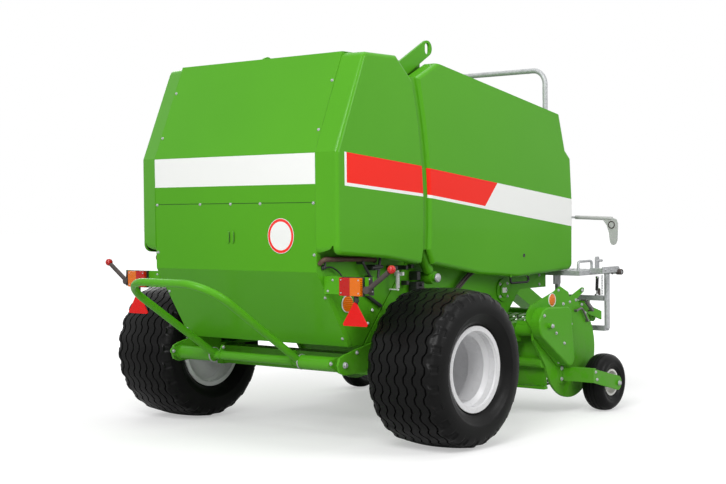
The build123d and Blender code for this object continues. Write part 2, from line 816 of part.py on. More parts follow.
with BuildPart() as ram_barrel:
    rod(on_ram(0), on_ram(eye_radius + 10), ram_half)
    rod(on_ram(eye_radius + 8), on_ram(barrel_end - 45), barrel_radius - 3)
    rod(on_ram(barrel_end - 46), on_ram(barrel_end), barrel_radius)
    rod((ram_x - ram_half, *ram_foot), (ram_x + ram_half, *ram_foot), eye_radius)
    rod(on_ram(60), on_ram(barrel_end - 40), barrel_bore + running, mode=Mode.SUBTRACT)
    rod(on_ram(60), on_ram(barrel_end + 1), rod_radius + running, mode=Mode.SUBTRACT)
    rod(
        (ram_x - ram_half - 20, *ram_foot), (ram_x + ram_half + 20, *ram_foot), ram_pin_radius + running,
        mode=Mode.SUBTRACT,
    )
keep_pair(ram_barrel, "ram_barrel")

with BuildPart() as ram_rod:
    rod(on_ram(75), on_ram(ram_length), rod_radius)
    rod(on_ram(75), on_ram(115), barrel_bore)
    rod((ram_x - ram_half, *ram_head), (ram_x + ram_half, *ram_head), eye_radius)
    rod((ram_x - ram_half - 5, *ram_head), (ram_x + ram_half + 5, *ram_head), 15, mode=Mode.SUBTRACT)
keep_pair(ram_rod, "ram_rod")

# Bale ramp: cross tube on two pins with a lug at each sleeve, and a bent loop
with BuildPart() as ramp_loop:
    rod((-ramp_half, ramp_y, ramp_z), (ramp_half, ramp_y, ramp_z), ramp_tube_radius)
    for hand in (-1, 1):
        rod((hand * ramp_sleeve_in, ramp_y, ramp_z), (hand * ramp_half, ramp_y, ramp_z), ramp_sleeve_radius)
        rod(
            (hand * (ramp_half - 45), ramp_y, ramp_z), (hand * (ramp_half + 1), ramp_y, ramp_z),
            ramp_pin_radius + running, mode=Mode.SUBTRACT,
        )
        low, high = across(hand, ramp_half - 12, ramp_half - 2)
        hull_plate(
            side(low), ((ramp_y, ramp_z, ramp_sleeve_radius + 4), (ramp_y - 75, ramp_z + 12, 18)), high - low,
            ((ramp_y, ramp_z, ramp_pin_radius + running), (ramp_y - 75, ramp_z + 12, 7)),
        )
        low, high = across(hand, ramp_sleeve_in - 62, ramp_sleeve_in - 54)
        hull_plate(
            side(low), ((ramp_y, ramp_z, ramp_tube_radius + 3), (ramp_y + 10, ramp_z + 45, 14)), high - low,
        )
    tube(
        ((-ramp_leg_x, ramp_y, ramp_z), (-ramp_leg_x, ramp_rear, ramp_top), (ramp_leg_x, ramp_rear, ramp_top),
         (ramp_leg_x, ramp_y, ramp_z)),
        ramp_bar_radius, ramp_bend,
    )
keep(ramp_loop, "ramp_loop")

# Pickup frame: side plates hung on the pivots, joined by a cross tube
cheek = (
    (pivot_y - 60, pivot_z + 20), (pivot_y, pivot_z + 70), (reel_y - 150, reel_z + 250), (reel_y - 30, reel_z + 335),
    (reel_y + 60, reel_z + 328), (reel_y + 90, reel_z + 313), (reel_y + 150, reel_z + 230), (reel_y, reel_z - 290),
    (reel_y - 190, reel_z - 200), (pivot_y - 60, pivot_z - 90),
)
with BuildPart() as pickup_frame:
    for x in (pickup_x, -pickup_x - pickup_plate):
        with BuildSketch(side(x)) as outline:
            with Locations((reel_y, reel_z)):
                Circle(reel_disc)
            with BuildLine():
                Polyline(*cheek, close=True)
            make_face()
            with Locations((pivot_y, pivot_z)):
                Circle(pivot_radius + running, mode=Mode.SUBTRACT)
        extrude(outline.sketch, amount=pickup_plate)
    for hand in (-1, 1):
        low, high = across(hand, pickup_x + pickup_plate - 1, guard_in - seat)
        rod((low, reel_y, reel_z), (high, reel_y, reel_z), 70)
        low, high = across(hand, pickup_x + 3, pickup_x + pickup_plate)
        hull_plate(
            side(low), ((reel_y - 10, reel_z + 300, 26), (reel_y + 160, reel_z + 372, 15)), high - low,
        )
    rod((-pickup_x - 1, *frame_tube), (pickup_x + 1, *frame_tube), 30)
keep(pickup_frame, "pickup_frame")

# Tined reel: each tine is a wire bent backwards at its middle
with BuildPart() as pickup_reel:
    rod((seat - pickup_x, reel_y, reel_z), (pickup_x - seat, reel_y, reel_z), reel_tube)
    for hand in (-1, 1):
        rod((hand * (pickup_x - 12), reel_y, reel_z), (hand * (pickup_x - 20), reel_y, reel_z), tine_circle + 25)
    for bar in range(tine_bars):
        angle = radians(360 / tine_bars * bar + 45)
        y, z = reel_y + tine_circle * cos(angle), reel_z + tine_circle * sin(angle)
        rod((12 - pickup_x, y, z), (pickup_x - 12, y, z), 16)
        run = ((y, z), *(
            (reel_y + radius * cos(angle - lag), reel_z + radius * sin(angle - lag))
            for radius, lag in ((tine_circle + 55, 0.02), (tine_tip, 0.16))
        ))
        for index in range(tine_count):
            x = tine_pitch * (index - (tine_count - 1) / 2)
            sheet(side(x - tine_wire / 2), run, tine_wire, tine_wire)
keep(pickup_reel, "pickup_reel")

# Stripper bands between the tines, each bent round the reel between two bars behind it
with BuildPart() as band:
    ring(side(-band_half), (reel_y, reel_z), band_radius, band_radius + band_sheet, -95, 187, 2 * band_half)
    for angle, end in ((90, band_back), (-95, band_low)):
        near = [(reel_y + r * cos(radians(angle)), reel_z + r * sin(radians(angle)))
                for r in (band_radius, band_radius + band_sheet)]
        lift = 3 if angle > 0 else -3
        plate(side(-band_half), (near[0], near[1], (end[0], end[1] + lift), (end[0], end[1] - lift)), 2 * band_half)
with BuildPart() as stripper_bands:
    with Locations([(tine_pitch * (index - (tine_count - 2) / 2), 0, 0) for index in range(tine_count - 1)]):
        add(band.part)
    for y, z in (band_back, band_low):
        block((seat - pickup_x, y - 40, z - 8), (pickup_x - seat, y, z + 8))
keep(stripper_bands, "stripper_bands")

# Crop roller ahead of the reel, on an arm at each side
crop_arm = (
    (reel_y - 25, reel_z + 265), (reel_y - 5, reel_z + 305), (reel_y + 180, reel_z + 290),
    (crop_y + 25, crop_z + 28), (crop_y + 25, crop_z - 28), (reel_y + 170, reel_z + 235),
)
with BuildPart() as crop_roller:
    rod((50 - pickup_x, crop_y, crop_z), (pickup_x - 50, crop_y, crop_z), crop_radius)
    for hand in (-1, 1):
        rod((hand * (pickup_x - 51), crop_y, crop_z), (hand * (pickup_x - 2), crop_y, crop_z), 14)
        rod((hand * (pickup_x - 62), crop_y, crop_z), (hand * (pickup_x - 50), crop_y, crop_z), 40)
        low, high = across(hand, pickup_x - 10 - seat, pickup_x - seat)
        plate(side(low), crop_arm, 10)
keep(crop_roller, "crop_roller")

# Chain guard of the pickup drive, on the right: a base plate, and a raised case with a boss
guard_outline = (
    (pivot_y - 158, pivot_z + 45), (pivot_y - 145, pivot_z + 86), (pivot_y - 107, pivot_z + 127),
    (pivot_y + 154, pivot_z + 197), (pivot_y + 235, pivot_z + 228), (pivot_y + 330, pivot_z + 188),
    (pivot_y + 370, pivot_z + 88), (pivot_y + 368, pivot_z - 49), (pivot_y + 335, pivot_z - 268),
    (pivot_y + 195, pivot_z - 263), (pivot_y - 25, pivot_z - 95),
)
with BuildPart() as chain_guard:
    plate(side(guard_in), guard_outline, guard_base)
    hull_plate(
        side(guard_in + guard_base - 1),
        ((pivot_y, pivot_z + 10, 102), (pivot_y + 215, pivot_z + 55, 50), (pivot_y + 250, pivot_z - 215, 52)),
        guard_out - guard_in - guard_base + 1,
    )
    fillet(chain_guard.faces().sort_by(Axis.X)[-1].edges(), 10)
    rod((guard_out - 1, pivot_y, pivot_z), (guard_out + 25, pivot_y, pivot_z), 17)
keep(chain_guard, "chain_guard")

# Gauge wheels on forks, each at the end of a channel across the pickup's side
with BuildPart() as gauge_arms:
    for hand in (-1, 1):
        low, high = across(hand, pickup_x + pickup_plate + seat, fork_x + 1)
        block((low, arm_y, arm_z - arm_depth / 2), (high, arm_y + 45, arm_z + arm_depth / 2))
        block(
            (low - 1, arm_y + 6, arm_z - arm_depth / 2 + 6), (high + 1, arm_y + 46, arm_z + arm_depth / 2 - 6),
            mode=Mode.SUBTRACT,
        )
        low, high = across(hand, pickup_x + pickup_plate + seat, pickup_x + pickup_plate + 8)
        block((low, arm_y - 30, arm_z - 60), (high, arm_y + 60, arm_z + arm_depth / 2 + 3))
        low, high = across(hand, fork_x, fork_x + fork_plate)
        hull_plate(
            side(low),
            ((arm_y + 6, arm_z - arm_depth / 2 + 6, 6), (arm_y + 6, arm_z + arm_depth / 2 - 6, 6),
             (gauge_y, gauge_radius, 45)),
            fork_plate,
        )
        rod((hand * (fork_x + 1), gauge_y, gauge_radius), (hand * (gauge_x - 40), gauge_y, gauge_radius), gauge_pin)
        rod(
            (hand * (fork_x + fork_plate - 1), gauge_y, gauge_radius),
            (hand * (fork_x + fork_plate + 10), gauge_y, gauge_radius), 13,
        )
keep(gauge_arms, "gauge_arms")


def turned_about_axle(section, place, label):
    """A wheel's piece: its section (radius, distance along the axle), turned and put in its place."""
    with BuildPart() as turned:
        with BuildSketch(Plane.XY) as face:
            with BuildLine():
                Polyline(*section, close=True)
            make_face()
        revolve(face.sketch, axis=Axis.Y)
    with BuildPart() as placed:
        add(turned.part.moved(place))
    keep_pair(placed, label)


def mirrored(half_section):
    """A tyre's section from one half of it."""
    return [(radius, -distance) for radius, distance in half_section] + list(half_section)[::-1]


gauge_place = Location((gauge_x, gauge_y, gauge_radius), (0, 0, -90))
half = gauge_width / 2
turned_about_axle(
    mirrored((
        (gauge_rim + 2, half - 20), (gauge_rim + 14, half - 8), (gauge_rim + 40, half),
        (gauge_radius - 35, half - 4), (gauge_radius - 6, half - 27), (gauge_radius, half - 55),
    )),
    gauge_place, "gauge_tyre",
)
bead = gauge_rim + 2 - seat
well = gauge_rim - 10
turned_about_axle(
    (
        (gauge_pin + running, -38), (gauge_hub, -38), (gauge_hub, -8), (well, -8), (well, 20 - half),
        (bead, 20 - half), (bead, half - 20), (well, half - 20), (well, 2), (gauge_hub, 2), (gauge_hub, half - 15),
        (gauge_pin + running, half - 15),
    ),
    gauge_place, "gauge_rim",
)

# Main wheels
wheel_place = Location((track / 2, 0, tyre_radius), (0, 0, -90))
half = tyre_width / 2
turned_about_axle(
    mirrored((
        (rim_seat_radius + 2, rim_bead), (rim_radius + 8, rim_bead), (rim_radius + 26, half - 33),
        (310, half - 5), (345, half), (382, half - 6), (tyre_radius - 14, half - 26), (tyre_radius - 3, half - 58),
        (tyre_radius, half - 110),
    )),
    wheel_place, "tyre",
)
hub_low = hub_x - track / 2
outer = rim_seat_radius + 2 - seat
inner = outer - rim_sheet
turned_about_axle(
    (
        (spindle_radius + running, hub_low), (hub_radius, hub_low), (hub_radius, hub_low + 50),
        (inner, hub_low + 50), (inner, -rim_half), (rim_radius, -rim_half), (rim_radius, -rim_bead - seat),
        (outer, -rim_bead - seat), (outer, 5), (outer - rim_well, 20), (outer - rim_well, 135), (outer, 150),
        (outer, rim_bead + seat), (rim_radius, rim_bead + seat), (rim_radius, rim_half), (inner, rim_half),
        (inner, 148), (inner - rim_well, 133), (inner - rim_well, 22), (inner, 7), (inner, hub_low + 62),
        (hub_radius, hub_low + 62), (hub_radius, hub_low + hub_length), (0, hub_low + hub_length),
        (0, hub_low + hub_length - 20), (spindle_radius + running, hub_low + hub_length - 20),
    ),
    wheel_place, "rim",
)

# Drawbar with the towing eye and the jack's tube
with BuildPart() as drawbar:
    top_run = [(y, z + drawbar_depth / 2) for y, z in drawbar_run]
    sheet(
        side(-drawbar_width / 2), ((drawbar_run[0][0] + seat, top_run[0][1]), *top_run[1:]), -drawbar_depth,
        drawbar_width,
    )
    block(
        (-drawbar_width / 2 - 60, front_y + seat, front_low), (drawbar_width / 2 + 60, front_y + 16, front_high),
    )
    with BuildSketch(Plane.XY.offset(eye_z - eye_depth / 2)) as eye:
        with BuildLine():
            Polyline(
                (-50, eye_y - 120), (50, eye_y - 120), (50, eye_y - 70), (30, eye_y), (-30, eye_y), (-50, eye_y - 70),
                close=True,
            )
        make_face()
        with Locations((0, eye_y)):
            Circle(eye_outer)
            Circle(eye_bore, mode=Mode.SUBTRACT)
    extrude(eye.sketch, amount=eye_depth)
    rod((jack_x, jack_y, 200), (jack_x, jack_y, 600), jack_tube_radius)
    rod((jack_x, jack_y, 599), (jack_x, jack_y, 612), jack_tube_radius - 8)
    rod((jack_x, jack_y, 606), (jack_x + 130, jack_y, 606), 8)
    rod((jack_x + 122, jack_y, 600), (jack_x + 122, jack_y, 690), 11)
    block((drawbar_width / 2 - 1, jack_y - 35, 500), (jack_x, jack_y + 10, 580))
    rod((jack_x, jack_y, 199), (jack_x, jack_y, 590), jack_leg_radius + running, mode=Mode.SUBTRACT)
keep(drawbar, "drawbar")

with BuildPart() as jack_leg:
    rod((jack_x, jack_y, 5), (jack_x, jack_y, 430), jack_leg_radius)
    rod((jack_x, jack_y, 0), (jack_x, jack_y, 10), jack_foot_radius)
keep(jack_leg, "jack_leg")

# Platform at the front right, on two brackets, with the ladder's bar, a box and a strap
with BuildPart() as platform:
    block((platform_left, front_y + seat + 20, platform_low), (platform_right, platform_front, platform_high))
    block(
        (platform_left + 4, front_y + 25, platform_low - 1), (platform_right - 4, platform_front - 4, platform_high - 5),
        mode=Mode.SUBTRACT,
    )
    for x in (platform_left, platform_left + 300):
        block((x, front_y + seat, front_low + 20), (x + 80, front_y + 30, platform_low + 6))
    block((wall_out - 30, front_y + 140, front_low + 10), (wall_out - 20, front_y + 218, platform_high - 4))
    rod((ladder_left - ladder_rail, ladder_y, ladder_z), (ladder_right + 109, ladder_y, ladder_z), ladder_bar)
    for x in (ladder_left + 32, ladder_right - 38):
        block((x, platform_front - 5, ladder_z - 10), (x + 12, ladder_y + 12, ladder_z + 10))
keep(platform, "platform")

# Ladder with two flat treads
with BuildPart() as ladder:
    for x in (ladder_left, ladder_right):
        rod((x, ladder_y, ladder_z - 18), (x, ladder_y, 494), ladder_rail)
        rod((x - 12, ladder_y, ladder_z), (x + 12, ladder_y, ladder_z), 24)
    for z in (693, 494):
        block((ladder_left, ladder_y - 30, z - 16), (ladder_right, ladder_y + 30, z + 16))
    for x in (ladder_left, ladder_right):
        rod((x - 20, ladder_y, ladder_z), (x + 20, ladder_y, ladder_z), ladder_bar + running, mode=Mode.SUBTRACT)
keep(ladder, "ladder")

with BuildPart() as handrail:
    tube(
        ((handrail_x, rail_y, platform_high + seat), (handrail_x, rail_y, handrail_top),
         (-handrail_x, rail_y, handrail_top), (-handrail_x, rail_y, front_high + 5)),
        handrail_radius, 90,
    )
    block((-handrail_x - 25, front_y + seat, front_high - 40), (-handrail_x + 25, rail_y + 20, front_high + 6))
keep(handrail, "handrail")

# Arm of the net's brake, with a paddle at its end
arm_z_net = platform_high + 345
paddle_x = platform_right + 111
with BuildPart() as net_arm:
    tube(
        ((handrail_x + handrail_radius + seat, rail_y, arm_z_net), (wall_out, rail_y, arm_z_net),
         (wall_out + 70, rail_y + 143, arm_z_net), (paddle_x, rail_y + 143, arm_z_net - 8),
         (paddle_x, rail_y + 143, arm_z_net - 90)),
        7, 30,
    )
    with BuildSketch(Plane.XZ.offset(-rail_y - 147)) as paddle:
        with BuildLine():
            Polyline(
                (paddle_x - 45, arm_z_net - 4), (paddle_x + 28, arm_z_net - 12), (paddle_x + 32, arm_z_net - 150),
                (paddle_x - 22, arm_z_net - 168), (paddle_x - 30, arm_z_net - 90), close=True,
            )
        make_face()
        fillet(paddle.vertices(), 12)
    extrude(paddle.sketch, amount=8)
keep(net_arm, "net_arm")

# The pieces are written out about the middle of the machine's length
front_end = eye_y + eye_outer
rear_end = ramp_rear - ramp_bar_radius
middle = (front_end + rear_end) / 2
for piece in pieces:
    placed = piece.moved(Location((0, -middle, 0)))
    placed.label = piece.label
    export_step(placed, f"parts/{piece.label}.step")
print("middle of the length", middle, "pieces", len(pieces))
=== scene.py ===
# %% [markdown]
# # A round baler, dressed for its picture
#
# The machine comes in as a finished frame: every plate, tube and wheel is already in place, in metres,
# with X to the machine's right, Y forwards and Z up. This lesson adds what the eye expects on top of
# it: paint, rubber, bolts, hoses and the light of a studio. The frame is loaded first.

# %% Load the machine
import json
from math import cos, pi, radians, sin

import bmesh
import bpy
from mathutils import Matrix, Vector


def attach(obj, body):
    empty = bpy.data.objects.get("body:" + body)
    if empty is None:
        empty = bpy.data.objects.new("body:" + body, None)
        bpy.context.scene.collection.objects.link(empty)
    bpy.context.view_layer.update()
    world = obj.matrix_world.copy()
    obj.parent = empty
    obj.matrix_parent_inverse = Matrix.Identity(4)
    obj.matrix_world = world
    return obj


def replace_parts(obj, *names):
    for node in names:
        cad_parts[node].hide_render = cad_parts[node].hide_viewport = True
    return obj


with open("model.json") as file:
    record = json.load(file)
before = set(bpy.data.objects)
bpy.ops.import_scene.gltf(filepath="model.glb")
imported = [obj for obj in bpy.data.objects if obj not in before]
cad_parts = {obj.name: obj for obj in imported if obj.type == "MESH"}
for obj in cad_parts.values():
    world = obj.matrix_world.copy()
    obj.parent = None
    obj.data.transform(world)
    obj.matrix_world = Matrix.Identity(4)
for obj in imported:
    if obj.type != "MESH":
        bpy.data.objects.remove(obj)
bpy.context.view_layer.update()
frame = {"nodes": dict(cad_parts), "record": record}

# %% [markdown]
# ## Camera
#
# The camera stands behind the machine on its right, at the height of a person's chest, with a long
# lens that keeps upright edges nearly parallel. Its axes are built from three angles, so each can be
# read and changed by itself.

# %% Camera
photo_width = 726
swing, tilt, roll = radians(39.6), radians(1.38), radians(-0.557)
ahead = Vector((-sin(swing) * cos(tilt), cos(swing) * cos(tilt), -sin(tilt)))
level = Vector((cos(swing), sin(swing), 0))
above = level.cross(ahead)
right_hand = level * cos(roll) + above * sin(roll)
upwards = above * cos(roll) - level * sin(roll)

focal_pixels = 1400.65
sensor = 36
stand = (5.5223, -7.1413, 1.303)
eye = bpy.data.cameras.new("camera")
eye.sensor_width = sensor
eye.lens = sensor * focal_pixels / photo_width
camera = bpy.data.objects.new("camera", eye)
bpy.context.scene.collection.objects.link(camera)
axes = Matrix((right_hand, upwards, -ahead)).transposed().to_4x4()
camera.matrix_world = Matrix.Translation(stand) @ axes
bpy.context.scene.camera = camera
print("lens", round(eye.lens, 1), "mm")

# %% [markdown]
# ## Paint and rubber as sums
#
# A finish is a small sum over the surface: where the band lies, how much dust has settled, how deep
# the grain is. The class below wraps one socket of a material, so such a sum reads as plain Python.
# Any node that isn't arithmetic comes from its one method, `add`.

# %% Sums on a surface
class Surface:
    """One socket of a material's nodes; arithmetic on it adds Math nodes."""

    def __init__(self, tree, socket=None):
        self.tree, self.socket = tree, socket

    def feed(self, socket, value):
        if isinstance(value, Surface):
            self.tree.links.new(value.socket, socket)
        else:
            socket.default_value = value

    def add(self, kind, settings=(), inputs=(), output=0):
        """A node of any kind: its settings first, then the values or links of its sockets."""
        made = self.tree.nodes.new("ShaderNode" + kind)
        for name, value in dict(settings).items():
            setattr(made, name, value)
        for name, value in dict(inputs).items():
            self.feed(made.inputs[name], value)
        return Surface(self.tree, made.outputs[output])

    def sum(self, operation, *values):
        return self.add("Math", {"operation": operation}, dict(enumerate(values)))

    def __add__(self, other):
        return self.sum("ADD", self, other)

    def __sub__(self, other):
        return self.sum("SUBTRACT", self, other)

    def __mul__(self, other):
        return self.sum("MULTIPLY", self, other)

    def __truediv__(self, other):
        return self.sum("DIVIDE", self, other)

    def __gt__(self, other):
        return self.sum("GREATER_THAN", self, other)

    def __lt__(self, other):
        return self.sum("LESS_THAN", self, other)

    def __rsub__(self, other):
        return self.sum("SUBTRACT", other, self)

    def __rtruediv__(self, other):
        return self.sum("DIVIDE", other, self)

    __radd__, __rmul__ = __add__, __mul__

    def abs(self):
        return self.sum("ABSOLUTE", self)

    def at_least(self, other):
        return self.sum("MAXIMUM", self, other)

    def at_most(self, other):
        return self.sum("MINIMUM", self, other)

    def length(self):
        return self.add("VectorMath", {"operation": "LENGTH"}, {0: self}, "Value")

    def mix(self, low, high):
        """The colour low where this value is 0 and high where it is 1."""
        ends = [value if isinstance(value, Surface) else (*value, 1) for value in (low, high)]
        return self.add("Mix", {"data_type": "RGBA"}, {0: self, 6: ends[0], 7: ends[1]}, 2)


def start(name):
    """A new material with its shader, and the place of each point on the machine as a surface."""
    material = bpy.data.materials.new(name)
    material.use_nodes = True
    shader = material.node_tree.nodes["Principled BSDF"]
    place = Surface(material.node_tree).add("TexCoord", output="Object")
    return material, shader, place


def along(place, axis):
    return place.add("SeparateXYZ", inputs={0: place}, output=axis)


def cloud(place, scale, detail=2.0):
    """Soft noise between 0 and 1, scale patches to the metre."""
    return place.add("TexNoise", inputs={"Vector": place, "Scale": scale, "Detail": detail})


def relief(height, depth, edge=None):
    """A bump of a depth in metres, over rounded edges where a radius is given."""
    inputs = {"Height": height, "Distance": depth, "Strength": 1.0}
    if edge:
        inputs["Normal"] = height.add("Bevel", {"samples": 4}, {"Radius": edge})
    return height.add("Bump", inputs=inputs)


def finish(shader, place, fixed=(), **varying):
    """Fixed values go straight on the shader's sockets, varying ones are linked."""
    for name, value in dict(fixed).items():
        shader.inputs[name].default_value = value
    for name, value in varying.items():
        place.feed(shader.inputs[name.replace("_", " ")], value)


print("surface sums ready")

# %% [markdown]
# ## Green enamel
#
# The plates and tubes are sprayed with a gloss enamel over steel. Close up such paint has a faint
# orange peel, a slow drift of shade and a film of dust low down. The peel is a bump of about a tenth of
# a millimetre, and a bevelled normal softens each sheet's cut edge so it catches light.

# %% Green enamel
GREEN = (0.086, 0.362, 0.011)
DARK_GREEN = (0.070, 0.315, 0.009)
DUST = (0.24, 0.22, 0.15)
dust_top, dust_gaps, dust_film = 0.62, 0.46, 0.22       # height it reaches, how patchy, how thick
sprayed = {"Coat Weight": 0.08, "Coat Roughness": 0.12, "Specular IOR Level": 0.16}
peel_scale, peel_depth = 260, 0.00012


def enamel_base(place):
    """Green that drifts slowly, with dust that settles low down."""
    low_down = (dust_top - along(place, 2)).at_least(0)
    film = (cloud(place, 9, 4) > dust_gaps) * low_down * dust_film
    return film.mix(cloud(place, 1.3).mix(DARK_GREEN, GREEN), DUST)


def enamel_gloss(place):
    return 0.3 + 0.12 * cloud(place, 6, 3)


green_enamel, shader, place = start("green enamel")
finish(
    shader, place, sprayed,
    Base_Color=enamel_base(place),
    Roughness=enamel_gloss(place),
    Normal=relief(cloud(place, peel_scale), peel_depth, 0.0025),
)
print(green_enamel.name)

# %% [markdown]
# ## Moulded side covers
#
# The side covers are moulded in one piece, glossier than the sheet steel, and carry a falling band.
# On the rear cover the band is red with a white edge; on the front cover it changes to white at a
# slanted cut. The band is two straight lines in side view, so it is drawn by comparing each point's
# height with a line. It shows only on the outer face. The grip under each front cover is black.

# %% Banded covers
RED = (0.86, 0.018, 0.008)
WHITE = (0.84, 0.85, 0.83)
half_length = 0.9905            # from the ground point below the axle to the middle of the machine
outer_face = 0.742              # the band stays on the face, outside this distance from the middle
white_border = 0.017
grip_rear, grip_fore, grip_top = 0.035, 0.262, 0.8715       # the grip under each front cover
GRIP_BLACK = (0.012, 0.012, 0.013)


def line(place, first, last):
    """Height of a straight line through two side-view points, at each point of the surface."""
    slope = (last[1] - first[1]) / (last[0] - first[0])
    return along(place, 1) * slope + (first[1] - slope * first[0])


def banded(name, top, low, red_from, cut=None):
    """A cover with a band between two lines: red with a white border, or white past a slanted cut."""
    material, shader, place = start(name)
    y, z = along(place, 1), along(place, 2)
    face = along(place, 0).abs() > outer_face
    band = (z < line(place, *top)) * (z > line(place, *low)) * (y > red_from - white_border) * face
    red = (z > line(place, *low) + white_border) * (y > red_from)
    if cut:
        (cut_y, cut_z), slant = cut
        red = red * (y < cut_y + (z - cut_z) * slant)
    grip = (z < grip_top) * (y > grip_rear) * (y < grip_fore)
    moulded = grip.mix(cloud(place, 1.1).mix(DARK_GREEN, GREEN), GRIP_BLACK)
    finish(
        shader, place, {"Coat Weight": 0.12, "Coat Roughness": 0.05, "Specular IOR Level": 0.16},
        Base_Color=band.mix(moulded, red.mix(WHITE, RED)),
        Roughness=0.26 + 0.08 * cloud(place, 5, 3),
        Normal=relief(cloud(place, 180), 0.00008, 0.004),
    )
    return material


def shifted(*points):
    """Side-view points measured from the axle, in metres about the machine's middle."""
    return tuple((y / 1000 - half_length, z / 1000) for y, z in points)


rear_banded = banded(
    "rear cover green", shifted((-544, 1602), (137, 1537)), shifted((-543, 1424), (135, 1366)),
    -0.522 - half_length,
)
front_banded = banded(
    "front cover green", shifted((219, 1524), (1765, 1347)), shifted((217, 1357), (1768, 1170)),
    0.1 - half_length, ((0.757 - half_length, 1.312), 0.95),
)
print(rear_banded.name, front_banded.name)

# %% [markdown]
# ## Rear skin
#
# One folded sheet closes the tailgate. A white band crosses its middle panel, below the fold, and the
# seam under it is a shallow groove, painted darker as shade. A picture could be wrapped round the sheet,
# but both follow from the height, and comparing heights gives edges that stay sharp close up.

# %% Rear skin
band_low, band_high = 1.434, 1.5985
seam_height, seam_half, seam_deep = 1.336, 0.0018, 12
SEAM_PAINTED_SHADE = (0.02, 0.09, 0.01)

skin_enamel, shader, place = start("rear skin green")
z = along(place, 2)
band = (z > band_low) * (z < band_high) * (along(place, 1) < -0.55 - half_length)
# The seam's groove is darkened in colour as well as pressed in: painted shade in the groove.
seam = (z - seam_height).abs() < seam_half
finish(
    shader, place, sprayed,
    Base_Color=band.mix(seam.mix(enamel_base(place), SEAM_PAINTED_SHADE), WHITE),
    Roughness=enamel_gloss(place),
    Normal=relief(cloud(place, peel_scale) - seam * seam_deep, peel_depth, 0.003),
)
print(skin_enamel.name)

# %% [markdown]
# ## Rubber, steel and small mouldings
#
# The rest is ordinary: black rubber with a dull bloom, silver and white rims, worked steel, galvanised
# tube with its spangle, and lenses. The plain ones share a recipe that blends two shades by noise at
# the size that the real finish has. Zinc and lenses have patterns, so each has its own function.

# %% Plain finishes
def plain(name, low, high, scale, rough, grain, depth, fixed=(), edge=0.0015, spread=0.15):
    """Two shades mixed by noise, with a roughness that varies and a fine bump."""
    material, shader, place = start(name)
    finish(
        shader, place, fixed,
        Base_Color=cloud(place, scale, 3).mix(low, high),
        Roughness=rough + spread * (cloud(place, scale * 2.7, 3) - 0.5),
        Normal=relief(cloud(place, grain, 3), depth, edge),
    )
    return material


def galvanised_steel():
    """Zinc with its spangle: flat crystals, each a little lighter or darker."""
    material, shader, place = start("galvanised")
    spangle = place.add("TexVoronoi", inputs={"Vector": place, "Scale": 140}, output="Color")
    shade = spangle.add("SeparateXYZ", inputs={0: spangle})
    finish(
        shader, place, {"Specular IOR Level": 0.6},
        Base_Color=shade.mix((0.36, 0.37, 0.38), (0.52, 0.53, 0.54)),
        Metallic=0.25 + 0.2 * shade,
        Roughness=0.42 + 0.14 * shade,
        Normal=relief(cloud(place, 90, 3), 0.0002, 0.002),
    )
    return material


def lens(name, colour, cells=90):
    """Clear coloured moulding with small square optics pressed into it, so many cells to the metre."""
    material, shader, place = start(name)
    upright, level = (place.sum("SINE", along(place, axis) * cells * 2 * pi) for axis in (0, 2))
    bulge = 0.5 + 0.5 * (upright * level)
    # The lens also glows faintly, though no lamp is lit: a painted glow, brightest on each optic's bulge.
    finish(
        shader, place, {"Coat Weight": 0.25, "Coat Roughness": 0.03, "Specular IOR Level": 0.3,
                        "Emission Strength": 0.06},
        Base_Color=bulge.mix(tuple(0.45 * c for c in colour), colour),
        Emission_Color=bulge.mix(tuple(0.5 * c for c in colour), colour),
        Roughness=0.12 + 0.1 * cloud(place, 40),
        Normal=relief(upright * level, 0.0006),
    )
    return material


print("recipes ready")

# %% [markdown]
# ## Blank sign
#
# The round sign is white sheet with a red ring. The ring could be a thin piece of its own; painted by
# each point's distance from the sign's middle, it is perfectly round and lies flat.

# %% Blank sign
sign_x, sign_z = 0.371, 1.158
ring_inner, ring_outer = 0.0775, 0.0925
blank_sign, shader, place = start("blank round sign")
x, z = along(place, 0) - sign_x, along(place, 2) - sign_z
outwards = place.sum("SQRT", x * x + z * z)
finish(
    shader, place, {"Coat Weight": 0.3},
    Base_Color=((outwards > ring_inner) * (outwards < ring_outer)).mix(WHITE, RED),
    Roughness=0.32 + 0.1 * cloud(place, 30),
    Normal=relief(cloud(place, 900), 0.00004),
)
print(blank_sign.name)
